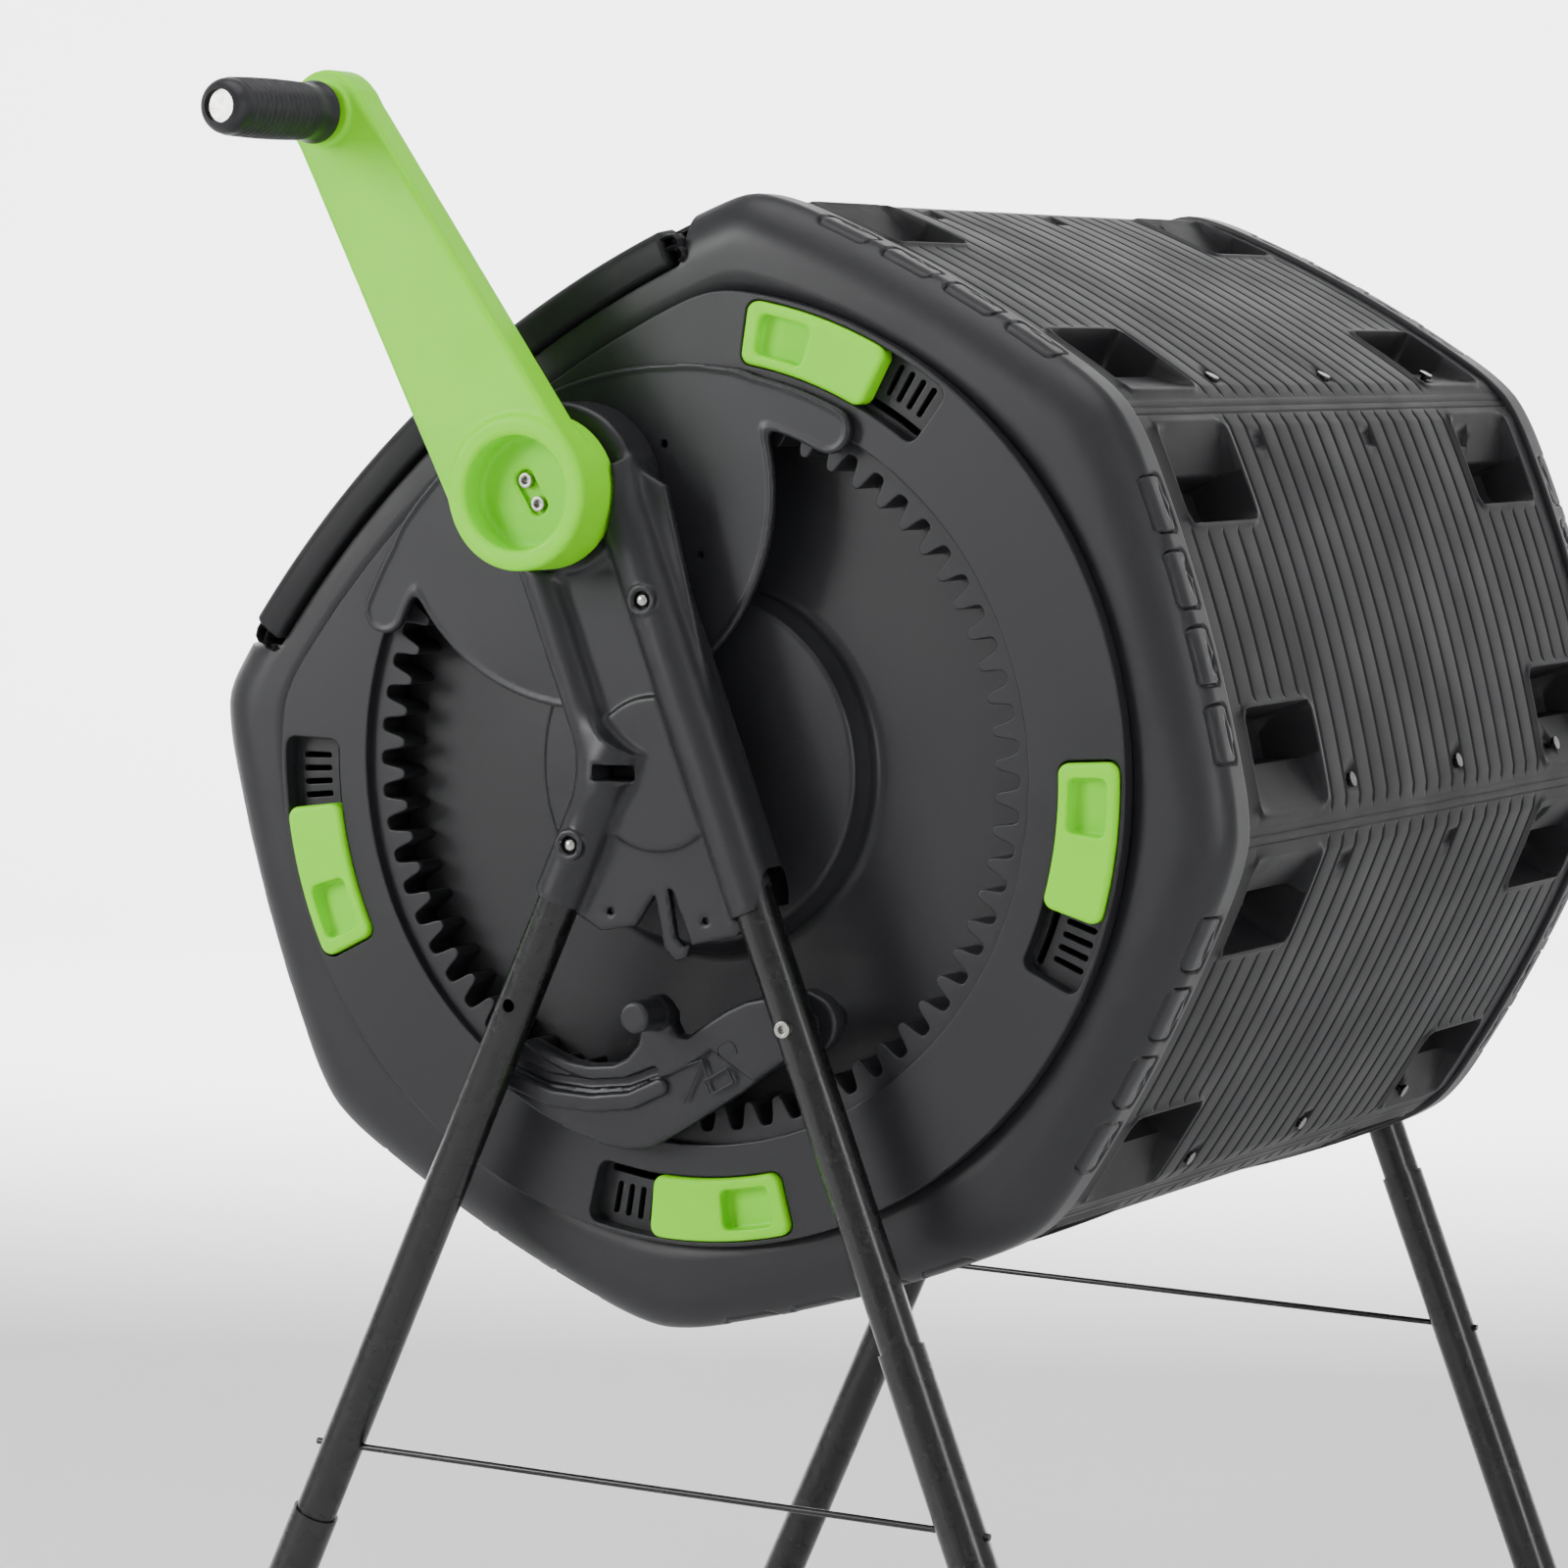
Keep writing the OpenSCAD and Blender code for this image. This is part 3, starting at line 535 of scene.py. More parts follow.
def surface_nets(field: Field3D, low: Sequence[float], high: Sequence[float], step: float) -> Solid:
    """Meshes the zero level of a distance field.

    Args:
        field: Distance in millimetres at x, y, z, negative inside.
        low: Lowest corner of the space searched.
        high: Highest corner.
        step: Size of the cells.

    Returns:
        A closed solid, its points pulled onto the surface.
    """
    axes = [np.arange(a, b + step, step) for a, b in zip(low, high)]
    x, y, z = np.meshgrid(*axes, indexing="ij", sparse=True)
    value = np.broadcast_to(field(x, y, z), [len(a) for a in axes]).astype(np.float32)
    inside = value < 0
    shape = tuple(s - 1 for s in inside.shape)
    corners = [tuple(slice(o, o + s) for o, s in zip(c, shape)) for c in np.ndindex(2, 2, 2)]
    count = sum(inside[c].astype(np.int8) for c in corners)
    cells = np.argwhere((count > 0) & (count < 8))
    index = np.full(shape, -1, dtype=np.int64)
    index[tuple(cells.T)] = np.arange(len(cells))
    total, weight = np.zeros((len(cells), 3)), np.zeros(len(cells))
    for axis in range(3):
        step_axis = np.eye(3, dtype=int)[axis]
        for c in np.ndindex(2, 2, 2):
            if c[axis]:
                continue
            a, b = cells + c, cells + c + step_axis
            va, vb = value[tuple(a.T)], value[tuple(b.T)]
            cut = (va < 0) != (vb < 0)
            share = np.where(cut, va / np.where(cut, va - vb, 1), 0)
            total += cut[:, None] * (a + share[:, None] * step_axis)
            weight += cut
    points = np.array([a[0] for a in axes]) + step * total / weight[:, None]
    quads = []
    for axis in range(3):
        u, v = (axis + 1) % 3, (axis + 2) % 3
        here = [slice(1, s) for s in shape]
        here[axis] = slice(0, shape[axis])
        ahead = list(here)
        ahead[axis] = slice(1, shape[axis] + 1)
        first, second = inside[tuple(here)], inside[tuple(ahead)]
        edge = np.argwhere(first != second)
        start = edge + [0 if k == axis else 1 for k in range(3)]
        du, dv = np.eye(3, dtype=int)[u], np.eye(3, dtype=int)[v]
        around = [index[tuple((start - o).T)] for o in (du + dv, dv, 0 * du, du)]
        quad = np.stack(around, axis=1)
        quads.append(np.where(first[tuple(edge.T)][:, None], quad, quad[:, ::-1]))
    probe = 0.25
    for _ in range(3):
        px, py, pz = points.T
        here = field(px, py, pz)
        slope = np.stack([
            field(px + probe, py, pz) - field(px - probe, py, pz),
            field(px, py + probe, pz) - field(px, py - probe, pz),
            field(px, py, pz + probe) - field(px, py, pz - probe),
        ], axis=1) / (2 * probe)
        shift = here[:, None] * slope / np.maximum((slope**2).sum(axis=1, keepdims=True), 0.3)
        points = points - np.clip(0.8 * shift, -step / 3, step / 3)
    return Solid(points, [np.concatenate(quads)])


# ---- materials -------------------------------------------------------------


class Graph:
    """Small helper for building a material's node tree."""

    def __init__(self, name: str) -> None:
        """Starts a material that reads object coordinates."""
        self.material = bpy.data.materials.new(name)
        self.material.use_nodes = True
        self.tree = self.material.node_tree
        self.shader = self.tree.nodes["Principled BSDF"]
        self.place = self.add("ShaderNodeTexCoord").outputs["Object"]

    def add(self, kind: str, **inputs: object) -> bpy.types.Node:
        """Adds a node, linking or setting the inputs named (spaces as underscores)."""
        made = self.tree.nodes.new(kind)
        for key, value in inputs.items():
            socket = made.inputs[key.replace("_", " ")]
            if isinstance(value, Socket):
                self.tree.links.new(value, socket)
            else:
                socket.default_value = value
        return made

    def noise(
        self, scale: float, detail: float = 3.0, roughness: float = 0.5, stretch: Point | None = None
    ) -> Socket:
        """Noise over the object, stretched along the axes where asked."""
        place = self.place
        if stretch is not None:
            place = self.add("ShaderNodeMapping", Vector=place, Scale=tuple(stretch)).outputs["Vector"]
        made = self.add("ShaderNodeTexNoise", Vector=place, Scale=scale, Detail=detail, Roughness=roughness)
        return made.outputs["Fac"]

    def spread(self, value: Socket, low: float, high: float, to_low: float, to_high: float) -> Socket:
        """Maps one range onto another."""
        made = self.add("ShaderNodeMapRange", Value=value)
        for key, number in (("From Min", low), ("From Max", high), ("To Min", to_low), ("To Max", to_high)):
            made.inputs[key].default_value = number
        return made.outputs["Result"]

    def mix(self, share: Socket, first: Point, second: Point | Socket) -> Socket:
        """Mixes two colours."""
        made = self.tree.nodes.new("ShaderNodeMix")
        made.data_type = "RGBA"
        self.tree.links.new(share, made.inputs[0])
        for socket, value in ((made.inputs[6], first), (made.inputs[7], second)):
            if isinstance(value, Socket):
                self.tree.links.new(value, socket)
            else:
                socket.default_value = (*value, 1.0)
        return made.outputs[2]

    def bump(self, height: Socket, strength: float, distance: float) -> None:
        """Adds relief to the surface."""
        made = self.add("ShaderNodeBump", Height=height, Strength=strength, Distance=distance)
        self.link(made.outputs["Normal"], "Normal")

    def link(self, value: Socket, socket: str) -> None:
        """Links a value to the shader."""
        self.tree.links.new(value, self.shader.inputs[socket])

    def set(self, **inputs: float) -> None:
        """Sets the shader's own constants."""
        for key, value in inputs.items():
            self.shader.inputs[key.replace("_", " ")].default_value = value


def moulded_plastic(
    name: str, base: Sequence[float], roughness: float, scuffs: float = 0.5, shine: float = 0.3
) -> bpy.types.Material:
    """Fine-grained moulded plastic with cloudy sheen and light handling marks."""
    g = Graph(name)
    cloudy = g.spread(g.noise(5.0, 4.0, 0.6), 0.35, 0.68, 0.0, 1.0)
    tone = g.mix(cloudy, [c * 0.95 for c in base], [c * 1.06 for c in base])
    fine = g.spread(g.noise(38.0, 6.0, 0.75, (1.0, 0.25, 2.4)), 0.66, 0.82, 0.0, scuffs)
    patch = g.spread(g.noise(7.0, 2.0), 0.5, 0.66, 0.0, 1.0)
    mark = g.add("ShaderNodeMath")
    mark.operation = "MULTIPLY"
    g.tree.links.new(fine, mark.inputs[0])
    g.tree.links.new(patch, mark.inputs[1])
    colour = g.mix(mark.outputs[0], base, [min(1.0, c * 2.0 + 0.015) for c in base])
    joined = g.tree.nodes.new("ShaderNodeMix")
    joined.data_type = "RGBA"
    joined.blend_type = "LIGHTEN"
    joined.inputs[0].default_value = 1.0
    g.tree.links.new(tone, joined.inputs[6])
    g.tree.links.new(colour, joined.inputs[7])
    g.link(joined.outputs[2], "Base Color")
    g.link(g.spread(g.noise(14.0, 5.0), 0.3, 0.7, roughness - 0.05, roughness + 0.07), "Roughness")
    g.set(Specular_IOR_Level=shine)
    g.bump(g.noise(1500.0, 2.0, 0.6), 0.10, 0.0004)
    return g.material


def lime_plastic(name: str) -> bpy.types.Material:
    """Bright satin plastic with a little light travelling inside it."""
    g = Graph(name)
    base = (0.20, 0.72, 0.001)
    cloudy = g.spread(g.noise(9.0, 4.0), 0.3, 0.7, 0.0, 1.0)
    g.link(g.mix(cloudy, [c * 0.95 for c in base], [c * 1.05 for c in base]), "Base Color")
    g.link(g.spread(g.noise(22.0, 5.0), 0.3, 0.7, 0.40, 0.50), "Roughness")
    g.set(Specular_IOR_Level=0.22, Subsurface_Weight=0.05, Subsurface_Scale=0.004)
    g.shader.inputs["Subsurface Radius"].default_value = (0.6, 1.0, 0.2)
    g.bump(g.noise(1400.0, 2.0, 0.6), 0.07, 0.0003)
    return g.material


def black_paint(name: str) -> bpy.types.Material:
    """Satin black powder coat."""
    g = Graph(name)
    g.link(g.mix(g.noise(30.0, 3.0), (0.003, 0.003, 0.0035), (0.005, 0.005, 0.0055)), "Base Color")
    g.link(g.spread(g.noise(60.0, 4.0), 0.3, 0.7, 0.25, 0.29), "Roughness")
    g.set(Specular_IOR_Level=0.36, Coat_Weight=0.1, Coat_Roughness=0.14)
    g.bump(g.noise(900.0, 3.0, 0.6), 0.008, 0.0001)
    return g.material


def bright_metal(name: str, tone: float = 1.0) -> bpy.types.Material:
    """Plated steel with faint turning marks, darker for a lower tone."""
    g = Graph(name)
    dark, light = ([c * tone for c in shade] for shade in ((0.34, 0.335, 0.31), (0.46, 0.45, 0.42)))
    g.link(g.mix(g.noise(80.0, 4.0), dark, light), "Base Color")
    g.link(g.spread(g.noise(240.0, 4.0, 0.6, (8.0, 1.0, 1.0)), 0.3, 0.7, 0.18, 0.34), "Roughness")
    g.set(Metallic=1.0)
    g.bump(g.noise(700.0, 2.0), 0.05, 0.0002)
    return g.material


def rubber(name: str, base: Sequence[float] = (0.018, 0.018, 0.018)) -> bpy.types.Material:
    """Matt black rubber."""
    g = Graph(name)
    g.link(g.mix(g.noise(25.0, 4.0), [c * 0.7 for c in base], [c * 1.6 for c in base]), "Base Color")
    g.link(g.spread(g.noise(40.0, 4.0), 0.3, 0.7, 0.62, 0.8), "Roughness")
    g.bump(g.noise(600.0, 3.0), 0.15, 0.0004)
    return g.material


def backdrop_paint(name: str) -> bpy.types.Material:
    """Even, nearly white studio paper."""
    g = Graph(name)
    g.link(g.mix(g.noise(2.0, 2.0), (0.90, 0.90, 0.90), (0.93, 0.93, 0.93)), "Base Color")
    g.set(Roughness=0.9, Specular_IOR_Level=0.1)
    return g.material


@dataclass(frozen=True)
class Paints:
    """Every material of the scene."""

    cap: bpy.types.Material
    panel: bpy.types.Material
    stand: bpy.types.Material
    inside: bpy.types.Material
    lime: bpy.types.Material
    tube: bpy.types.Material
    steel: bpy.types.Material
    dark_steel: bpy.types.Material
    bush: bpy.types.Material
    foot: bpy.types.Material

    @classmethod
    def make(cls) -> "Paints":
        """Builds the materials."""
        return cls(
            cap=moulded_plastic("cap_plastic", (0.014, 0.014, 0.016), 0.40, 0.4),
            panel=moulded_plastic("panel_plastic", (0.0125, 0.0125, 0.0138), 0.48, 0.1, 0.14),
            stand=moulded_plastic("stand_plastic", (0.014, 0.014, 0.0165), 0.38, 0.4),
            inside=moulded_plastic("inner_plastic", (0.022, 0.022, 0.024), 0.55, 0.0),
            lime=lime_plastic("lime_plastic"),
            tube=black_paint("black_powder_coat"),
            steel=bright_metal("plated_steel"),
            dark_steel=bright_metal("dull_steel", 0.22),
            bush=moulded_plastic("bush_plastic", (0.55, 0.55, 0.52), 0.38, 0.1),
            foot=rubber("foot_rubber"),
        )


# ---- the drum --------------------------------------------------------------


@dataclass(frozen=True)
class Finish:
    """What ties a finished piece to the frame."""

    body: str
    slot: str
    nodes: tuple[str, ...] = ()

    def apply(self, obj: bpy.types.Object) -> bpy.types.Object:
        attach(obj, self.body)
        if self.nodes:
            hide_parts(*self.nodes)
        LOG.info("%s rides on %s", obj.name, self.body)
        return obj


def lines(marks: Sequence[float], low: float, high: float, coarse: float, fine: float, reach: float) -> Array:
    """Grid lines from low to high, close together near the marks.

    Args:
        marks: Places that need fine lines.
        low: First line.
        high: Last line.
        coarse: Spacing elsewhere.
        fine: Spacing near the marks.
        reach: How far from a mark the fine spacing goes.

    Returns:
        Sorted line positions.
    """
    dense = [np.arange(m - reach, m + reach + fine / 2, fine) for m in marks]
    every = np.concatenate([np.arange(low, high, coarse), [low, high], *dense])
    every = np.unique(np.round(every[(every >= low) & (every <= high)], 4))
    keep = np.concatenate([[True], np.diff(every) > fine * 0.35])
    keep[-1] = True
    return every[keep]


def polar(radius: Array | float, angle: Array) -> Array:
    """Points y, z from radii and angles in radians."""
    return np.stack([radius * np.cos(angle), radius * np.sin(angle)], axis=-1)


def leftward(path: Array) -> Array:
    """Unit vectors that point to the left of a 2D path, one at each of its points."""
    ahead = np.gradient(path, axis=0)
    ahead /= np.linalg.norm(ahead, axis=1, keepdims=True)
    return np.stack([-ahead[:, 1], ahead[:, 0]], axis=1)


# places of the four tabs along one side of a rim, in steps of the tabs' spacing
TABS = (-1.5, -0.5, 0.5, 1.5)
# points along the outline of one tooth of the ring
TOOTH_POINTS = 16
# middle line of a catch: along the door side, and below its outline
HOOK = ((187, 8.5), (193, 8.5), (197.5, 10), (199.5, 13.5), (198.5, 17), (195, 18.5))


@dataclass
class DrumBuilder:
    """Builds the pieces that turn with the drum."""

    layout: Layout
    drum: Drum
    paints: Paints

    def place(self, end: End | None = None) -> Place:
        """The drum's own frame, at one end or at its middle."""
        return Place(self.layout, end, self.drum.turn)

    # caps

    def notch(self, theta: Array) -> Array:
        """1 where the door side's end bar is let into a cap, 0 elsewhere."""
        turn = theta - math.radians(self.drum.door_side)
        turn = np.arctan2(np.sin(turn), np.cos(turn))
        across = np.abs(self.drum.outline(theta, 0.0) * np.sin(turn))
        return np.where(np.abs(turn) < 1.2, np.clip((203.0 - across) / 2.5, 0, 1), 0.0)

    def cap_rim(self) -> Solid:
        """The rounded outer wall of a cap, from under the rim to the disc."""
        d = self.drum
        curve = np.array([
            [3.2, -30], [1.0, -30], [0.25, -29.7], [0, -29], [0, -28], [0, -26.8],
        ])
        shoulder_x = np.arange(-26, 0.1, 1.0)
        bend = np.clip((shoulder_x + 13) / 13, 0, None)
        shoulder = np.stack([5.6 * bend**2.1, shoulder_x], axis=1)
        face = np.array([
            [8.2, 2.4], [11.2, 4.6], [14.6, 6.5], [18.4, 8.1], [22.3, 9.2], [26.0, 9.8], [30.0, 10.0],
        ])
        curve = np.concatenate([curve, shoulder, face])
        marks = np.radians([
            a + math.degrees(math.asin((c * d.tab_pitch + s * 18) / 329.5))
            for a in d.sides for c in TABS for s in (-1, 1)
        ])
        door = np.radians(d.door_side + np.array([-1, 1]) * math.degrees(math.asin(201.7 / 338)))
        turn = 2 * np.pi
        theta = lines(
            [*np.mod(marks, turn), *np.mod(door, turn)], 0, turn, math.radians(1.1), 0.9 / 330, 5.2 / 330
        )[:-1][:, None]
        inset = np.maximum(curve[:, 0], 27.6 * self.notch(theta))
        x = np.broadcast_to(curve[:, 1], inset.shape).copy()
        radius = d.outline(theta, inset)
        for side in np.radians(d.sides):
            across = radius * np.sin(theta - side)
            ahead = np.cos(theta - side) > 0.5
            for c in TABS:
                beside = across - c * d.tab_pitch
                tab = box_field(x, beside, (-13.2, 0), (10.6, 17.6), 5.0)
                bite = box_field(x, beside, (-23.0, 0), (3.6, 5.6), 0.8)
                edge = np.maximum(tab, -bite)
                groove = np.where(ahead, np.clip(1.25 - np.abs(edge), 0, 1), 0)
                sunk = np.where(ahead & (edge < 0), 0.35, 0)
                radius = radius - 2.4 * groove - sunk
        disc = self.disc_outline(theta[:, 0])
        rows = [radius]
        levels = [x]
        for share, level in ((0.5, 10.0), (0.94, 10.0)):
            rows.append(radius[:, -1:] * (1 - share) + disc[:, None] * share)
            levels.append(np.full((len(theta), 1), level))
        radius, x = np.concatenate(rows, axis=1), np.concatenate(levels, axis=1)
        outer = np.concatenate([x[..., None], polar(radius, theta)], axis=-1)
        back = outer[:, ::-1].copy()
        back[..., 1:] *= np.clip(1 - 3.0 / radius[:, ::-1, None], 0, 1)
        back[..., 0] = np.minimum(back[..., 0] - 3.0 * np.clip((back[..., 0] + 12) / 12, 0, 1), 7.0)
        ring = np.concatenate([outer, back], axis=1)
        n, k, _ = ring.shape
        return Solid(ring.reshape(-1, 3), [grid_quads(n, k, True, True)])

    def disc_outline(self, theta: Array) -> Array:
        """Radius of the raised disc, flattened beside the doors."""
        radius, centre = self.drum.door_arc
        turn = theta - math.radians(self.drum.door_side)
        root = (radius - 50) ** 2 - (centre * np.sin(turn)) ** 2
        ray = centre * np.cos(turn) + np.sqrt(np.maximum(root, 0))
        return smooth_min(np.full_like(theta, self.drum.disc_r), ray, 9.0)

    def sector(self, r0: float, r1: float, start: float, stop: float, corner: float) -> Array:
        """Outline of a ring sector with rounded corners, angles in degrees, clockwise."""
        middle = (r0 + r1) / 2
        a0, a1 = math.radians(start) * middle, math.radians(stop) * middle
        quarter = np.linspace(0, np.pi / 2, 7)
        loop = []
        for cx, cy, begin in (
            (a1 - corner, r1 - corner, 0), (a0 + corner, r1 - corner, 1),
            (a0 + corner, r0 + corner, 2), (a1 - corner, r0 + corner, 3),
        ):
            turn = quarter + begin * np.pi / 2
            loop.append(np.stack([cx + corner * np.cos(turn), cy + corner * np.sin(turn)], axis=1))
        flat = np.concatenate(loop)
        dense = []
        for a, b in zip(flat, np.roll(flat, -1, axis=0)):
            steps = max(1, int(np.hypot(*(b - a)) / 4))
            dense.append(a + (b - a) * np.linspace(0, 1, steps, endpoint=False)[:, None])
        flat = np.concatenate(dense)
        return polar(flat[:, 1], flat[:, 0] / middle)

    def cap_disc(self) -> Solid:
        """The raised disc with its four vent windows."""
        d = self.drum
        theta = np.linspace(0, 2 * np.pi, 360, endpoint=False)
        outer = polar(self.disc_outline(theta), theta)
        inner = polar(np.full(360, d.land_r + 0.2), theta)[::-1]
        half = d.window_angle / 2
        windows = [self.sector(d.window_in, d.window_out, a - half, a + half, 7.0) for a in d.vents]
        return plate(outer, [inner, *windows], 3.0, d.disc_x, 1.0)

    def vent_floor(self, direction: float) -> Solid:
        """The grille behind a vent's slider."""
        d = self.drum
        low = direction - d.window_angle / 2
        high = low + d.window_angle
        outer = self.sector(d.window_in - 3, d.window_out + 3, low - 0.6, high + 0.6, 6.0)[::-1]
        slots = []
        for k in range(4):
            at = low + 2.5 + 1.75 * k
            slots.append(self.sector(d.window_in + 13, d.window_out - 6, at - 0.36, at + 0.36, 1.5))
        slots.append(self.sector(d.window_in + 3.0, d.window_in + 7.4, low + 0.8, high - 9, 2.0))
        return plate(outer, slots, 3.4, 8.0, 0.5)

    def gear_land(self, geared: bool) -> Solid:
        """The flat ring inside the disc, cut into teeth where geared."""
        d = self.drum
        theta = np.linspace(0, 2 * np.pi, d.ring_teeth * TOOTH_POINTS, endpoint=False)
        outer = polar(np.full(360, d.land_r + 1.2), np.linspace(0, 2 * np.pi, 360, endpoint=False))
        if geared:
            wave = np.cos(d.ring_teeth * theta)
            shaped = np.tanh(2.1 * wave + 0.25) / math.tanh(2.35)
            inner = polar(d.ring_pitch + 0.6 + 8.0 * shaped, theta)
        else:
            inner = polar(np.full(len(theta), 215.0), theta)
        return plate(outer, [inner[::-1]], d.floor_x - 2, d.land_x, 0.9)

    def dish(self) -> Solid:
        """The sunk middle of a cap with its round boss."""
        turn = np.linspace(0, np.pi / 2, 7)
        foot = np.stack([-12 + 7 * (1 - np.sin(turn)), 118.5 - 7 * np.cos(turn)], axis=1)[::-1]
        brow = np.stack([8 - 4 * (1 - np.cos(turn)), 106.2 - 4 * (1 - np.sin(turn))], axis=1)[::-1]
        profile = np.concatenate([
            [[-15, 226.0], [-12, 226.0], [-12, 222.0], [-12, 160.0]],
            foot, [[-2, 110.6]], brow,
            [[8, 60], [8, 22], [6.5, 20], [6.5, 13.2], [-52, 13.2], [-52, 18.5]],
            [[3, 20], [3, 100], [-15, 108]],
        ])
        return revolve(profile, 192)

    def build_cap(self, end: End) -> None:
        """Builds one end cap and its vent sliders."""
        place, d = self.place(end), self.drum
        node = f"{end.prefix}_cap"
        body = Finish("drum", "cap_plastic")
        rim = self.cap_rim().moved(place).to_object(f"{node}_rim", self.paints.cap, 50)
        Finish("drum", "cap_plastic", (node,)).apply(rim)
        for part, solid in (
            ("disc", self.cap_disc()),
            ("gear_ring", self.gear_land(end is End.CRANK)),
            ("dish", self.dish()),
            ("vent_grilles", Solid.join([self.vent_floor(a) for a in d.vents])),
        ):
            body.apply(solid.moved(place).to_object(f"{node}_{part}", self.paints.cap))
        for number, direction in enumerate(d.vents, 1):
            name = f"{end.prefix}_vent_{number}"
            slider = self.slider(direction).moved(place).to_object(f"{name}_slider", self.paints.lime)
            Finish(name, "lime_plastic", (name,)).apply(slider)

    def slider(self, direction: float) -> Solid:
        """A vent slider with its finger recess, bent round the axle."""
        d = self.drum
        centre = direction + d.window_angle / 2 - d.slider_angle / 2 - 0.3
        middle = (d.window_in + d.window_out) / 2
        half_u = (d.window_out - d.window_in) / 2 - 0.45
        half_v = math.radians(d.slider_angle / 2) * middle

        def field(x: Array, u: Array, v: Array) -> Array:
            """Distance to the slider laid flat: a rounded block less a sloping recess."""
            body = slab(box_field(u, v, (0, 0), (half_u, half_v), 7.0), x, 8.3, 23.6, 2.6)
            sloped = 13.5 + 0.05 * np.abs(v)
            recess = slab(box_field(u, v, (0, 19.5), (half_u - 6.8, 16.5), 4.5), x, sloped, 40.0, 2.0)
            return smooth_max(body, -recess, 1.8)

        net = surface_nets(field, (7, -half_u - 2, -half_v - 2), (25.5, half_u + 2, half_v + 2), 1.1)
        x, u, v = net.points.T
        bent = polar(middle + u, v / middle + math.radians(centre))
        net.points = np.concatenate([x[:, None], bent], axis=1)
        return net

    # side panels

    def panel(self, direction: float) -> Solid:
        """A grooved side panel with its hand scoops and screw seats."""
        d = self.drum
        radius, centre = d.side_arc
        reach = self.layout.half - 10
        half = 132.3
        grooves = 22.0 * np.arange(-14, 15)
        scoop = (reach - 92.0, 50.0)
        ramp, deep, low = half - 14.0, half - 43.5, half - 76.0
        x = lines(
            [*grooves, *(s * (scoop[0] + e * scoop[1]) for s in (-1, 1) for e in (-1, 1))],
            -reach, reach, 11.0, 0.85, 2.6,
        )
        screws = np.array([-1.2, -0.2, 0.8]) * (self.layout.half * 2 - 60) / 3.47
        seat = half - 26.5
        t = lines(
            [s * m for s in (-1, 1) for m in (ramp, deep, low, half - 3, seat)], -half, half, 7.0, 1.0, 4.2
        )
        x, t = x[:, None], t[None, :]
        depth = np.zeros(np.broadcast(x, t).shape)
        scoop_x = np.abs(x) - scoop[0]
        side_t = np.abs(t)
        pocket = box_field(scoop_x, side_t, (0, (ramp + low) / 2), (scoop[1], (ramp - low) / 2), 9.0)
        groove = np.exp(-((np.abs(x[:, :, None] - grooves).min(axis=2) / 0.95) ** 2)) * np.ones_like(t)
        groove *= np.clip((half - 9.5 - side_t) / 2, 0, 1) * np.clip((pocket - 6.0) / 2.0, 0, 1)
        depth += 3.4 * groove
        depth -= 1.5 * np.clip(1 - np.abs((pocket - 1.8) / 2.6) ** 2, 0, None)
        slope = np.clip((ramp - side_t) / (ramp - deep), 0, 1) * 12
        slope = slope + np.clip((deep - side_t) / 3.2, 0, 1) * 22
        wall = np.clip(-pocket / 3.0, 0, 1)
        depth += slope * wall
        for s in screws:
            hollow = box_field(x - s, side_t, (0, seat), (8.2, 6.0), 5.6)
            depth += 3.0 * np.clip((0.8 - hollow) / 1.6, 0, 1)
        depth += 1.6 * np.clip(1 - (half - side_t) / 3.0, 0, 1) ** 2
        depth += 0.8 * np.clip(1 - np.abs(half - 6.2 - side_t) / 0.9, 0, 1)
        level = radius - d.panel_in - depth
        turn = np.arcsin(t / radius) * np.ones_like(x)
        across = level * np.sin(turn)
        out = centre + level * np.cos(turn)
        size = np.hypot(out, across)
        size_cap = d.corner - 4 - d.panel_in - depth
        shrink = np.minimum(1, size_cap / size)
        out, across = out * shrink, across * shrink
        points = np.stack([x * np.ones_like(t), out, across], axis=-1)
        skirts = []
        for edge, sign in ((0, -1), (-1, 1)):
            rows = []
            for drop in (1.5, 8.0, 16.0):
                row = points[:, edge].copy()
                row[:, 1] -= drop * math.cos(math.radians(22.5))
                row[:, 2] -= sign * drop * math.sin(math.radians(22.5))
                rows.append(row[:, None])
            skirts.append(np.concatenate(rows[::-1] if sign < 0 else rows, axis=1))
        points = np.concatenate([skirts[0], points, skirts[1]], axis=1)
        angle = math.radians(direction)
        y, z = points[..., 1].copy(), points[..., 2].copy()
        points[..., 1] = y * math.cos(angle) - z * math.sin(angle)
        points[..., 2] = y * math.sin(angle) + z * math.cos(angle)
        return shell(points, -2.4)

    def build_panels(self) -> None:
        """Builds the six side panels."""
        for number, direction in enumerate(self.drum.sides, 1):
            node = f"side_panel_{number}"
            piece = self.panel(direction).moved(self.place()).to_object(f"{node}_skin", self.paints.panel, 50)
            Finish("drum", "panel_plastic", (node,)).apply(piece)

    # door side

    def door_point(self, x: Array, across: Array, depth: Array | float) -> Array:
        """Points on the door side from the place along, across and below its outline."""
        radius, centre = self.drum.door_arc
        turn = across / radius
        x, turn, level = np.broadcast_arrays(x, turn, radius - depth)
        out, side = centre + level * np.cos(turn), level * np.sin(turn)
        angle = math.radians(self.drum.door_side)
        return np.stack([
            x, out * math.cos(angle) - side * math.sin(angle), out * math.sin(angle) + side * math.cos(angle),
        ], axis=-1)

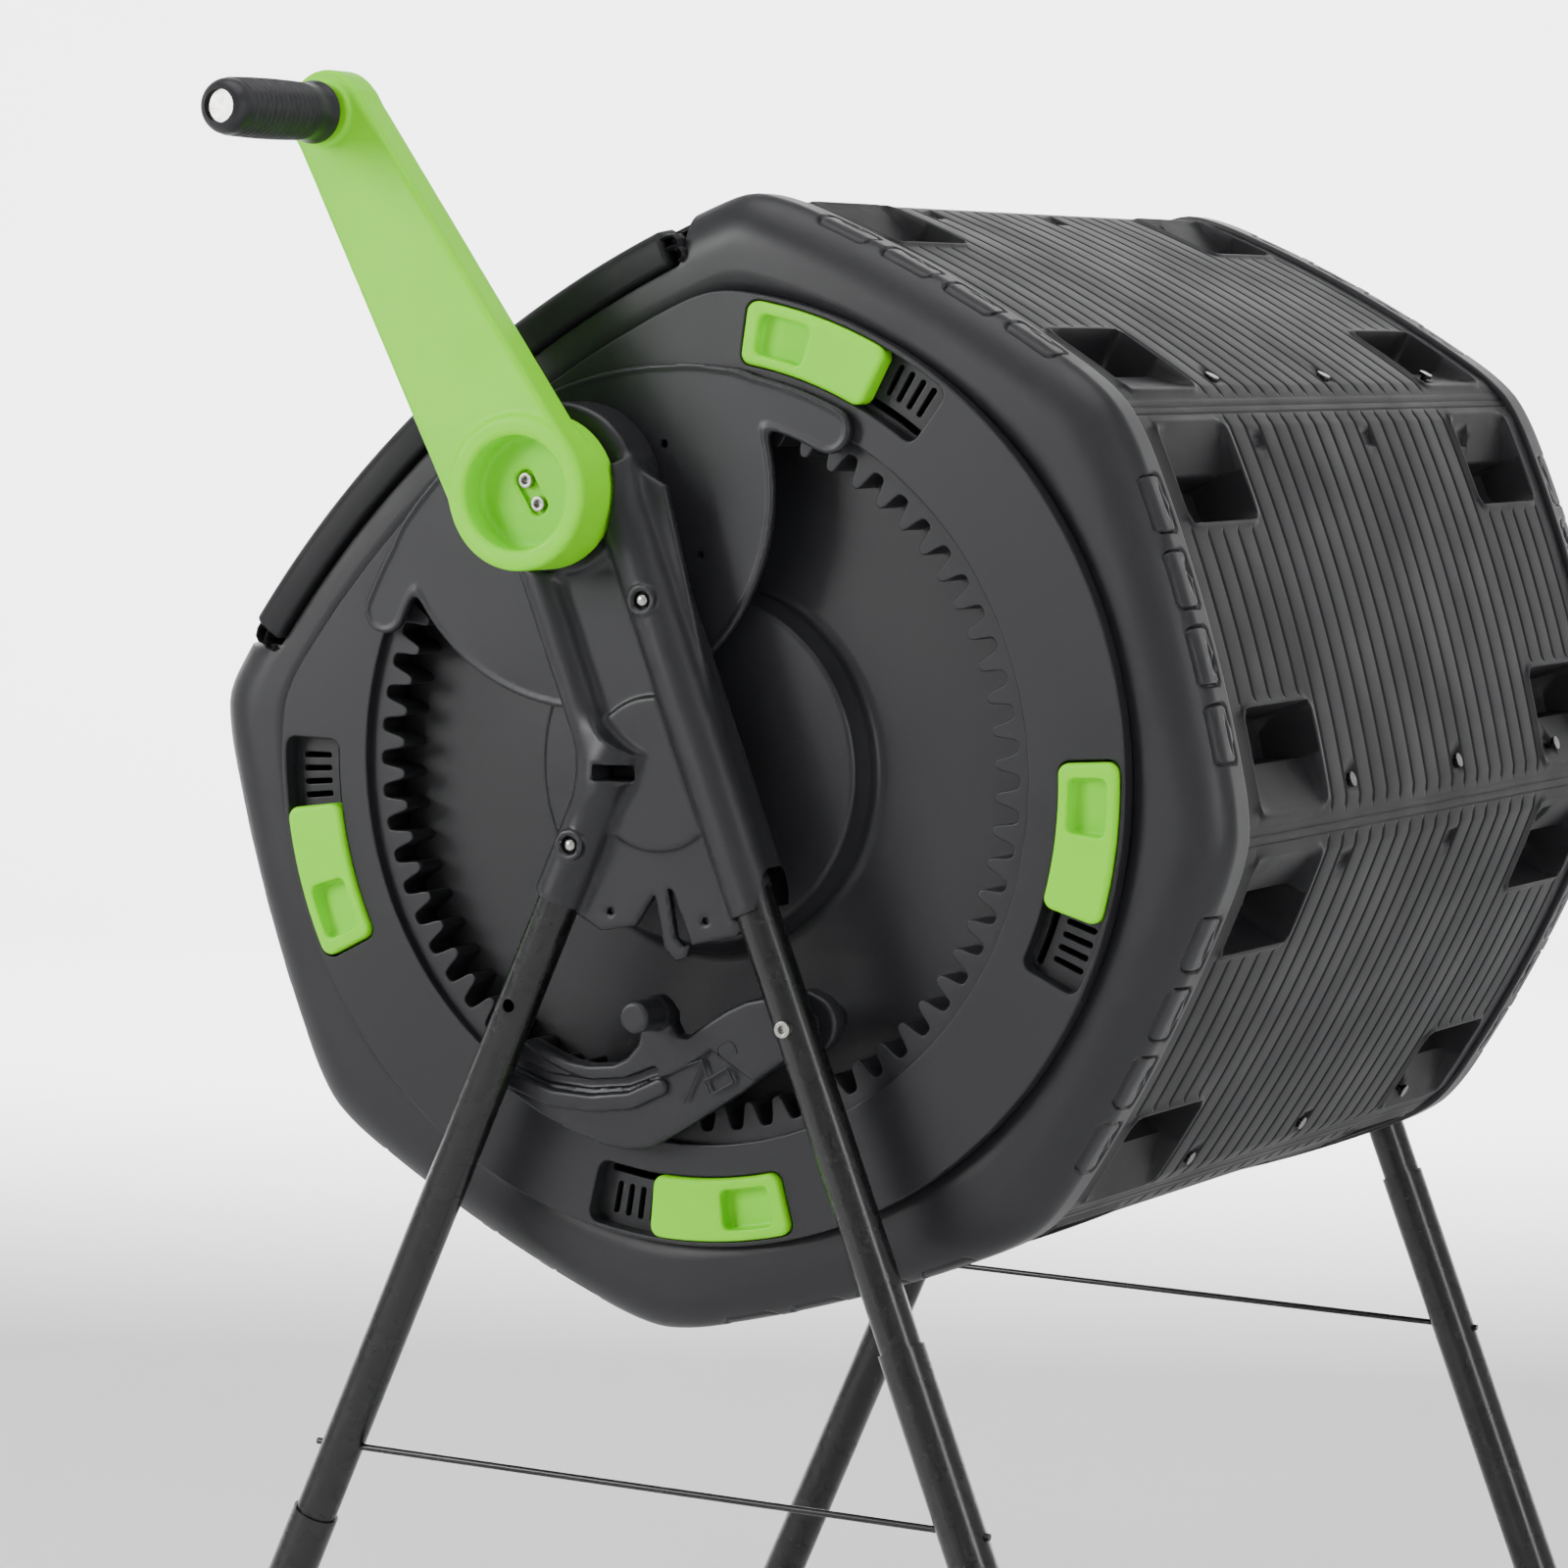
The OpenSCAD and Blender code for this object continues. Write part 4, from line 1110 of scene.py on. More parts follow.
    def door(self, end: End, track: float, reveal: float) -> Solid:
        """A sliding door: ribbed, with a raised pull."""
        s = end.value
        low, high = 14.0, 286.0
        marks = [high - 16.0, high - 38.0, high - 27.0, low + 2, high - 2]
        x = lines(marks, low, high, 6.0, 1.2, 3.0)[:, None]
        half = 129.0
        t = lines([-52, 52, -half + 2, half - 2], -half, half, 6.0, 1.2, 3.0)[None, :]
        ribs = np.clip(np.cos(x * 2 * np.pi / 24) * 3 - 2, 0, 1) * np.clip((half - 12 - np.abs(t)) / 3, 0, 1)
        ribs *= np.clip((high - 46 - x) / 3, 0, 1)
        pull = box_field(x, t, (high - 27, 0), (11, 52), 6)
        raised = np.clip(0.5 - pull / 3, 0, 1) - 1.2 * np.clip(-(pull + 4) / 3, 0, 1)
        edge = np.clip(1 - (half - np.abs(t)) / 2, 0, 1) ** 2
        edge = edge + np.clip(1 - np.minimum(x - low, high - x) / 2, 0, 1) ** 2
        depth = track + 0.5 * ribs - reveal * raised + 0.8 * edge + 0.25
        return shell(self.door_point(s * x, t, depth), -2.0 * s)

    def build_doors(self) -> None:
        """Builds the door frame with its end bars, and the two doors."""
        reach = self.layout.half - 10
        lands = []
        for side in (-1, 1):
            t = side * lines([132.5, 141, 149], 131.6, 236.0, 8.0, 1.0, 3.0)[None, :]
            x = np.linspace(-reach, reach, 41)[:, None]
            lip = np.clip(1 - (np.abs(t) - 131.6) / 3.0, 0, 1) ** 2
            bead = np.clip(1 - np.abs(np.abs(t) - 143) / 3.2, 0, 1) ** 2
            surface = self.door_point(x, t, 3.5 + 2.0 * lip - 1.6 * bead)
            lands.append(shell(surface, -2.6 * side))
            wall = self.door_point(x, side * np.array([[131.8, 134.2]]), np.array([[4.5, 4.5]]))
            foot = self.door_point(x, side * np.array([[134.2, 131.8]]), 18.0)
            lands.append(shell(np.concatenate([wall, foot], axis=1), -0.4 * side))
        low, high = 20.0, 262.0
        for x0, x1, t0, t1 in (
            (-reach, -high, -134, 134), (-low, low, -134, 134), (high, reach, -134, 134),
            (-high, -low, -134, -118), (-high, -low, 118, 134),
            (low, high, -134, -118), (low, high, 118, 134),
        ):
            gx = np.linspace(x0, x1, max(3, int(abs(x1 - x0) / 12)))[:, None]
            gt = np.linspace(t0, t1, max(3, int(abs(t1 - t0) / 9)))[None, :]
            lands.append(shell(self.door_point(gx, gt, 15.2), -2.6))
        for end in End:
            lands.append(self.end_bar(end))
            lands += self.hooks(end)
        frame = Solid.join([p.moved(self.place()) for p in lands])
        piece = frame.to_object("door_frame_mouldings", self.paints.panel)
        Finish("drum", "panel_plastic", ("door_frame",)).apply(piece)
        for end, track, reveal in ((End.CRANK, 5.3, 4.0), (End.REAR, 10.3, 1.6)):
            node = f"{end.prefix}_door"
            made = self.door(end, track, reveal).moved(self.place())
            panel = made.to_object(f"{node}_panel", self.paints.lime)
            Finish(node, "lime_plastic", (node,)).apply(panel)

    def end_bar(self, end: End) -> Solid:
        """The curved bar that closes the door side over one cap."""
        half, s = self.layout.half, end.value
        corner = np.linspace(0, np.pi / 2, 6)
        loops = []
        for cx, cd, radius, begin in (
            (6.5, 12.5, 9.5, 3), (13.5, 23.2, 2.8, 0), (-8, 23.2, 2.8, 1), (-10, 4.8, 3.8, 2),
        ):
            turn = corner + begin * np.pi / 2
            loops.append(np.stack([cx + radius * np.cos(turn), cd + radius * np.sin(turn)], axis=1))
        section = np.concatenate(loops)
        t = np.concatenate([[-189.2, -188.6], np.linspace(-187, 187, 75), [188.6, 189.2]])
        shrink = np.ones(len(t))
        shrink[[0, -1]], shrink[[1, -2]] = 0.72, 0.9
        middle = section.mean(axis=0)
        ring = middle + (section - middle) * shrink[:, None, None]
        return tube_of_rings(self.door_point(s * (half + ring[..., 0]), t[:, None], ring[..., 1]))

    def hooks(self, end: End) -> list[Solid]:
        """The J-shaped catches at the two ends of an end bar."""
        half, s = self.layout.half, end.value
        made = []
        for side in (-1, 1):
            for shift in (0.0, 7.0):
                path = np.array(HOOK) + [0, shift]
                turn = np.linspace(0, 2 * np.pi, 12, endpoint=False)
                flat = path[:, None, :] + 1.5 * np.cos(turn)[None, :, None] * leftward(path)[:, None, :]
                x = 6.0 + 7.0 * np.sin(turn)[None, :] + 0 * flat[..., 0]
                made.append(tube_of_rings(self.door_point(s * (half + x), side * flat[..., 0], flat[..., 1])))
        return made


# ---- the stand and the crank -----------------------------------------------

# lean of the legs, and how far their axes pass from the axle
LEAN = math.radians(22.5)
STRAIGHT_OFF, BENT_OFF = 35.0, 28.5
# how far up the straight leg the crank's axis crosses it
CRANK_UP = 179.3
# level of the leg tubes' axes, and radius of the sleeves round them
TUBE_X = 56.0
SLEEVE = 16.3
# places of the snap buttons along the straight and the bent leg
BUTTON_UP, BUTTON_DOWN = 97.0, 60.0
# room for the crank's hub: radius cleared, and level from which it is cleared
HUB_CLEAR = 47.6
HOUSING_FRONT = 61.2
# radius of the crank's hub, and levels of its recess and of the screws' heads
HUB_R = 46.0
RECESS_FLOOR = 83.5
SCREW_SEAT = 79.5
# level of the lever bolt's head, and place of the lever's knob
BOLT_SEAT = 68.9
KNOB = (-5, -144)
# height that the profile of a foot is drawn for, in metres
FOOT_HEIGHT = 0.03


@dataclass
class StandBuilder:
    """Builds the brackets, shield, lever and the small parts of the stand."""

    layout: Layout
    paints: Paints

    @staticmethod
    def across_leg(y: Array, z: Array, sign: int) -> tuple[Array, Array]:
        """Distances across and along a leg that leans by the given sign."""
        n = y * math.cos(LEAN) + sign * z * math.sin(LEAN)
        u = z * math.cos(LEAN) - sign * y * math.sin(LEAN)
        return n, u

    @staticmethod
    def sleeve(x: Array, n: Array, off: float, radius: float, back: float = 27.0) -> Array:
        """Cross-section of a sleeve: round in front, running straight to the back."""
        return np.hypot(n - off, np.maximum(x - TUBE_X, 0) + np.minimum(x - back - radius, 0)) - radius

    def bracket_field(self, geared: bool) -> Field3D:
        """Distance to the moulded bracket at one end."""
        web = [
            (-102, 152), (-36, 178), (-30, 185), (0, 170), (71, -75), (56, -91.5), (25, -100), (22.5, -107.5),
            (16, -110), (8, -103), (0.5, -71), (-12, -91), (-35, -96), (-79, -73), (-34, -8), (-33, 14),
        ]
        notch = [(9, -66), (13, -69), (26, -98.5), (21, -101), (15, -96)]

        def field(x: Array, y: Array, z: Array) -> Array:
            """Web, boss, two sleeves, a rib and a round housing joined, less bores and slots."""
            n, u = self.across_leg(y, z, 1)
            m, w = self.across_leg(y, z, -1)
            plate_field = slab(polygon_field(y, z, web), x, 50.5, 57.0, 1.6)
            ridge = slab(disc_field(y, z, (0, 0), 46.0), x, 50.5, 59.6, 1.8)
            body = smooth_min(plate_field, np.maximum(ridge, plate_field - 4), 1.5)
            boss = slab(disc_field(y, z, (0, 0), 24.0), x, 27.2, 55.0, 1.0)
            straight = np.maximum(self.sleeve(x, n, STRAIGHT_OFF, SLEEVE), np.maximum(-97 - u, u - CRANK_UP))
            rib = np.maximum(self.sleeve(x, n, -32.5, 12.3), np.maximum(6 - u, u - CRANK_UP))
            bent = np.maximum(self.sleeve(x, m, -BENT_OFF, SLEEVE), np.maximum(-97 - w, w - 6))
            arms = smooth_min(rib, bent, 16.0)
            arms = smooth_min(arms, straight, 2.0)
            housing = slab(disc_field(n, u, (0, CRANK_UP), 51.0), x, 27.2, 61.5, 4.0)
            arms = smooth_min(arms, housing, 7.0)
            body = smooth_min(smooth_min(body, arms, 5.0), boss, 2.0)
            for beside, along in ((n - STRAIGHT_OFF, u), (m + BENT_OFF, w)):
                bore = np.hypot(beside, x - TUBE_X) - 12.95
                body = smooth_max(body, -np.maximum(bore, along + 78), 1.0)
            hub = np.hypot(y - self.layout.crank[0], z - self.layout.crank[1]) - HUB_CLEAR
            body = smooth_max(body, -np.maximum(hub, HOUSING_FRONT - x), 2.0)
            slot = box_field(y, z, (-23.6, -0.1), (10.8, 4.8), 0.8)
            cut = np.minimum(slot, polygon_field(y, z, notch))
            for hole in ((-29.1, -83.7), (35.1, -84.4)):
                cut = np.minimum(cut, disc_field(y, z, hole, 2.2))
            body = smooth_max(body, -np.maximum(cut, 47 - x), 0.8)
            for spot in (np.hypot(n - STRAIGHT_OFF, u - BUTTON_UP), np.hypot(m + BENT_OFF, w + BUTTON_DOWN)):
                ring = np.maximum(np.abs(spot - 7.6) - 1.7, np.abs(x - 70) - 3.4)
                body = smooth_min(body, np.maximum(ring, spot - 9.4), 1.2)
                body = np.maximum(body, -np.maximum(spot - 5.4, 68.0 - x))
            if geared:
                c = self.layout.crank
                body = np.maximum(body, -(np.hypot(y - c[0], z - c[1]) - 15.2))
            else:
                dip = slab(disc_field(n, u, (0, CRANK_UP), 38.0), x, 58, 60.0, 1.0)
                body = np.maximum(body, -np.maximum(dip, 60.0 - x))
            return body

        return field

    def build_bracket(self, end: End) -> None:
        """Builds the bracket of one end."""
        node = f"{'crank' if end is End.CRANK else 'rear'}_bracket"
        net = surface_nets(self.bracket_field(end is End.CRANK), (25, -136, -119), (76, 76, 236), 1.7)
        piece = net.moved(Place(self.layout, end)).to_object(f"{node}_moulding", self.paints.stand, 60)
        Finish("stand", "stand_plastic", (node,)).apply(piece)

    def build_shield(self) -> None:
        """Builds the flat guard over the meshing teeth."""
        c = self.layout.crank

        def field(x: Array, y: Array, z: Array) -> Array:
            """A lobe round the crank and a band over the teeth, with a raised lip."""
            rim = disc_field(y, z, (0, 0), 239.4)
            lobe = smooth_max(disc_field(y, z, c, 131.0), rim, 6.0)
            band = np.maximum(rim, 211.4 - np.hypot(y, z))
            angle = np.degrees(np.arctan2(z, y))
            band = np.maximum(band, np.maximum(66 - angle, np.where(angle < -90, 1, angle - 158)) * 3.9)
            flat = smooth_min(lobe, band, 8.0)
            for turn in (66, 158):
                tip = (225.4 * math.cos(math.radians(turn)), 225.4 * math.sin(math.radians(turn)))
                flat = smooth_min(flat, disc_field(y, z, tip, 14.0), 1.0)
            body = slab(flat, x, 22.6, 27.4, 1.5)
            lip = slab(np.abs(flat + 1.6) - 1.4, x, 23.0, 28.2, 0.8)
            body = smooth_min(body, lip, 1.0)
            for hole in ((-17.4, 193.3), (9.1, 128.9)):
                body = smooth_max(body, -disc_field(y, z, hole, 2.4), 0.6)
            return np.maximum(body, -(np.hypot(y - c[0], z - c[1]) - 15.4))

        net = surface_nets(field, (21, -232, 30), (30, 110, 243), 1.5)
        piece = net.moved(Place(self.layout, End.CRANK)).to_object("gear_shield_plate", self.paints.stand, 60)
        Finish("stand", "stand_plastic", ("gear_shield",)).apply(piece)

    def build_buttons_and_feet(self) -> None:
        """Builds the domed snap buttons and the rubber feet."""
        turn = np.linspace(0, np.pi / 2, 8)
        dome = np.stack([70.6 + 2.6 * np.sin(turn), 4.0 * np.cos(turn)], axis=1)
        button = revolve(np.concatenate([[[66.5, 0], [66.5, 4.0]], dome]), 32)
        for end in End:
            for number, (off, up, sign) in enumerate(
                ((STRAIGHT_OFF, BUTTON_UP, 1), (-BENT_OFF, -BUTTON_DOWN, -1))
            ):
                y = off * math.cos(LEAN) - sign * up * math.sin(LEAN)
                z = sign * off * math.sin(LEAN) + up * math.cos(LEAN)
                solid = button.moved(Place(self.layout, end, origin=(y, z)))
                piece = solid.to_object(f"snap_button_{end.name.lower()}_{number}", self.paints.steel)
                Finish("stand", "bright_steel", ("snap_buttons",)).apply(piece)
        self.build_feet()

    def build_feet(self) -> None:
        """Builds the four ribbed rubber feet round the ends of the legs."""
        low, high = (np.array(c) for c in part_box("leg_feet"))
        base = high[2] - low[2]
        radius = 0.021
        level = np.array([0, 0, 1.5, 4, 5, 6.5, 7.5, 9, 10, 11.5, 12.5, 26, 28.5, 30, 30]) / 1000
        wide = np.array([0, 19, 20.6, 21, 20.0, 20.0, 21, 21, 19.9, 19.9, 20.8, 18.8, 18.0, 16.2, 0]) / 1000
        angle = np.linspace(0, 2 * np.pi, 64, endpoint=False)[:, None]
        for i, cx in enumerate((low[0] + radius, high[0] - radius)):
            for j, cy in enumerate((low[1] + radius, high[1] - radius)):
                up = level * base / FOOT_HEIGHT + 0 * angle
                ring = np.stack([cx + wide * np.cos(angle), cy + wide * np.sin(angle), up], axis=-1)
                solid = weld(ring.reshape(-1, 3), grid_quads(64, len(level), True)).moved(lambda p: p)
                piece = solid.to_object(f"foot_{i}_{j}", self.paints.foot)
                Finish("stand", "foot_rubber", ("leg_feet",)).apply(piece)

    # crank

    def build_crank(self) -> None:
        """Builds the crank arm and its grip."""
        across, up = self.layout.grip - self.layout.crank
        lean = math.degrees(math.atan2(-across, up))
        throw = float(np.hypot(across, up))

        def field(x: Array, y: Array, z: Array) -> Array:
            """A round hub and a tapering arm joined, less the recess, the bores and the seat."""
            hub = slab(disc_field(y, z, (0, 0), HUB_R), x, 62.2, 104.0, 3.4)
            shape = smooth_min(
                polygon_field(y, z, [(-44.5, 4), (-25.5, throw), (25.5, throw), (44.5, 4)]),
                disc_field(y, z, (0, throw), 25.6), 3.0,
            )
            front = 102.5 - 7.5 * np.clip(z / throw, 0, 1)
            arm = slab(shape, x - (front - 102.5), 77.0, 102.5, 3.6)
            body = smooth_min(hub, arm, 2.4)
            recess = slab(disc_field(y, z, (0, 0), 33.8), x, RECESS_FLOOR, 130.0, 3.5)
            body = smooth_max(body, -recess, 2.2)
            seat = box_field(y, z, (0, 0), (6.4, 14.4), 6.3)
            body = np.maximum(body, -np.maximum(seat, SCREW_SEAT - x))
            socket = slab(disc_field(y, z, (0, throw), 19.0), x, 92.0, 98.0, 1.5)
            body = smooth_min(body, socket, 1.5)
            for hole, r, back in (((0, throw), 6.3, 60), ((0, 8), 2.8, 60), ((0, -8), 2.8, 60)):
                body = np.maximum(body, -np.maximum(disc_field(y, z, hole, r), back - x))
            return np.maximum(body, -np.maximum(disc_field(y, z, (0, 0), 14.2), x - 76.2))

        net = surface_nets(field, (60, -50, -50), (107, 50, throw + 30), 1.7)
        place = Place(self.layout, End.CRANK, lean, tuple(self.layout.crank))
        piece = net.moved(place).to_object("crank_arm_moulding", self.paints.lime, 60)
        Finish("crank", "lime_plastic", ("crank_arm",)).apply(piece)
        self.build_screws(place)
        self.build_grip()

    def build_screws(self, place: Place) -> None:
        """Builds the two socket screws in the hub's seat."""
        screw = self.socket_screw(68.0, SCREW_SEAT + 0.1, 2.4, 4.5)
        both = Solid.join([Solid(screw.points + np.array([0.0, 0.0, s]), screw.faces) for s in (-8.0, 8.0)])
        piece = both.moved(place).to_object("crank_socket_screws", self.paints.steel)
        Finish("crank", "bright_steel", ("crank_screws",)).apply(piece)

    @staticmethod
    def socket_screw(start: float, seat: float, shank_r: float, head_r: float) -> Solid:
        """A screw along x with a socket head.

        Args:
            start: Level of its far end.
            seat: Level of the underside of its head.
            shank_r: Radius of the shank.
            head_r: Radius of the head.

        Returns:
            The screw round the x axis.
        """
        turn = np.linspace(0, 2 * np.pi, 36, endpoint=False)
        rim = head_r * np.stack([np.cos(turn), np.sin(turn)], axis=1)
        socket = 0.56 * head_r * np.stack([np.cos(turn[::-6]), np.sin(turn[::-6])], axis=1)
        head = plate(rim, [socket], seat + 1.3, seat + 4.6, 0.1 * head_r)
        shank = revolve(np.array([
            [start, 0.0], [start, shank_r], [seat, shank_r], [seat, head_r - 0.1], [seat + 1.4, head_r - 0.1],
            [seat + 1.4, 0.0],
        ]), 24)
        return Solid.join([head, shank])

    def build_grip(self) -> None:
        """Builds the grip, finely ribbed round its middle."""
        x = np.linspace(106.5, 207.5, 150)
        share = (x - x[0]) / (x[-1] - x[0])
        swell = 16.2 + 1.2 * np.sin(np.pi * share) + 2.6 * np.exp(-((share / 0.05) ** 2))
        ribs = 0.5 * np.cos(x * 2 * np.pi / 5) * (np.abs(share - 0.52) < 0.36)
        end = np.sqrt(np.clip(1 - ((x - 198.5).clip(0) / 9.2) ** 2, 0, 1))
        outer = np.stack([x, (swell + ribs) * (0.55 + 0.45 * end)], axis=1)
        start, stop = [[106.1, 6.4], [106.1, 18.4]], [[207.8, 9.9], [197.5, 9.9], [197.5, 6.4]]
        profile = np.concatenate([start, outer, stop])
        solid = revolve(profile, 72).moved(Place(self.layout, End.CRANK, origin=tuple(self.layout.grip)))
        piece = solid.to_object("crank_grip_moulding", self.paints.stand)
        Finish("grip", "stand_plastic", ("crank_grip",)).apply(piece)

    # lock lever

    def build_lever_bolt(self) -> None:
        """Builds the bolt that carries the lever, with its nut behind."""
        turn = np.linspace(0, 2 * np.pi, 6, endpoint=False)
        nut = 7.0 * np.stack([np.cos(turn), np.sin(turn)], axis=1)
        made = Solid.join([self.socket_screw(8.0, BOLT_SEAT, 3.9, 4.9), plate(nut, [], 4.2, 9.0, 0.7)])
        place = Place(self.layout, End.CRANK, origin=tuple(self.layout.pivot))
        piece = made.moved(place).to_object("lever_socket_bolt", self.paints.steel)
        Finish("stand", "bright_steel", ("lever_bolt",)).apply(piece)

    def build_lever(self) -> None:
        """Builds the drum lock lever with its knob, slotted rail and raised signs."""
        self.build_lever_bolt()
        pivot = self.layout.pivot
        outline = [
            (96, -123), (83, -124.5), (67.4, -128), (54.3, -131.5), (41.3, -138), (28.4, -146.7),
            (15.5, -156.0),
            (9, -156), (5.2, -150), (4.6, -143), (-5, -134), (-15, -144), (-17, -156), (-18.5, -164),
            (-26, -173), (-34, -177),
            (-50.8, -179.1), (-64, -177.8), (-74, -174.5), (-92, -167.4), (-106, -172), (-114, -186),
            (-112, -200),
            (-104.8, -203.4), (-87.3, -212.7), (-63.2, -222), (-39.3, -228.4), (-22.4, -229), (-9.1, -226.5),
            (10.6, -215.2), (43.1, -193.3), (80.3, -166.5), (98, -161),
        ]

        strip_path = [(-104, -193.5), (-76, -202), (-48, -202.6), (-22, -198.5), (-2, -188.5)]
        groove_path = [(-108, -181), (-80, -190.4), (-52, -191.6), (-26, -188), (-6, -179.5)]

        def field(x: Array, y: Array, z: Array) -> Array:
            """The outline in two levels, with a raised strip, a groove, the knob and the pivot's bore."""
            flat = smooth_min(polygon_field(y, z, outline), disc_field(y, z, pivot, 18.6), 6.0) + 0.4
            rail = np.hypot(y + 37, z + 86)
            body = slab(flat, x, 26.3, 36.4, 2.2)
            upper = np.maximum(flat + 0.3, np.minimum(rail - 103.4, -(z + 0.55 * y + 146)))
            body = smooth_min(body, slab(upper, x, 30, 39.7, 2.4), 1.6)
            strip = segment_chain(y, z, strip_path, 5.2)
            body = smooth_min(body, slab(strip, x, 32, 40.4, 1.8), 0.8)
            groove = segment_chain(y, z, groove_path, 3.0)
            body = smooth_max(body, -slab(groove, x, 33.4, 60, 1.2), 1.2)
            collar = slab(disc_field(y, z, KNOB, 10.4), x, 36, 44.0, 1.0)
            knob = slab(disc_field(y, z, KNOB, 9.6), x, 30, 68.8, 2.6)
            body = smooth_min(body, smooth_min(knob, collar, 2.0), 3.0)
            return np.maximum(body, -(np.hypot(y - pivot[0], z - pivot[1]) - 4.3))

        place = Place(self.layout, End.CRANK)
        net = surface_nets(field, (24, -118, -232), (71, 118, -116), 1.4)
        arrow = [(15, -196), (26.5, -169.5)], [(26.5, -169.5), (17, -173.5)], [(26.5, -169.5), (30, -179)]
        box = (33, -190), (48, -181), (43.5, -173), (28.5, -182)
        lock = [(a, b) for a, b in zip(box, (*box[1:], box[0]))]
        turn = np.linspace(np.radians(-60), np.radians(150), 14)
        shackle = np.stack([43 + 6.5 * np.cos(turn + 1.0), -163.5 + 6.5 * np.sin(turn + 1.0)], axis=1)
        strokes = [np.array(s, float) for s in (*arrow, *lock)] + [shackle]
        parts = [net, *(self.stroke(path, 39.6) for path in strokes), self.peg()]
        lever = Solid.join([part.moved(place) for part in parts])
        piece = lever.to_object("lock_lever_moulding", self.paints.stand, 60)
        Finish("lock_lever", "stand_plastic", ("lock_lever",)).apply(piece)

    @staticmethod
    def stroke(path: Array, level: float) -> Solid:
        """A thin raised line along a path on a flat face."""
        turn = np.linspace(0, 2 * np.pi, 8, endpoint=False)
        flat = path[:, None] + 0.75 * np.cos(turn)[None, :, None] * leftward(path)[:, None]
        x = level + 0.6 * np.sin(turn)[None, :, None] + 0 * flat[..., :1]
        return tube_of_rings(np.concatenate([x, flat], axis=-1))

    def peg(self) -> Solid:
        """The peg behind the lever that drops between the teeth."""
        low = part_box("lock_lever")[0]
        x0 = (low[0] - self.layout.axle[0]) * 1000 - self.layout.half
        angle, radius = math.radians(-109.7), 193.9
        profile = np.array([[x0, 0.0], [x0, 1.8], [x0 + 0.6, 2.3], [27.5, 2.3], [27.5, 0.0]])
        solid = revolve(profile, 32)
        solid.points = solid.points + [0, radius * math.cos(angle), radius * math.sin(angle)]
        return solid


def segment_chain(y: Array, z: Array, path: Sequence[Sequence[float]], radius: float) -> Array:
    """Distance to a bent stroke with round ends."""
    pieces = [segment_field(y, z, a, b, radius) for a, b in zip(path, path[1:])]
    return np.minimum.reduce(pieces)


# ---- what stays as the CAD made it -----------------------------------------


def paint_frame(frame: dict, paints: Paints) -> None:
    """Gives every CAD node the material that belongs to its slot."""
    by_slot = {
        "cap_plastic": paints.cap, "panel_plastic": paints.panel, "lime_plastic": paints.lime,
        "stand_plastic": paints.stand, "leg_paint": paints.tube, "bright_steel": paints.steel,
        "bush_plastic": paints.bush, "foot_rubber": paints.foot,
    }
    slots = {s["node"]: s["material_slot"] for s in frame["record"]["subparts"]}
    own = {"divider_wall": paints.inside, "panel_screws": paints.dark_steel}
    for name, obj in frame["nodes"].items():
        obj.data.materials.clear()
        obj.data.materials.append(own.get(name, by_slot[slots[name]]))


# ---- studio ----------------------------------------------------------------


# how far the camera stands from the point it looks at, in metres
CAMERA_AWAY = 3.3175


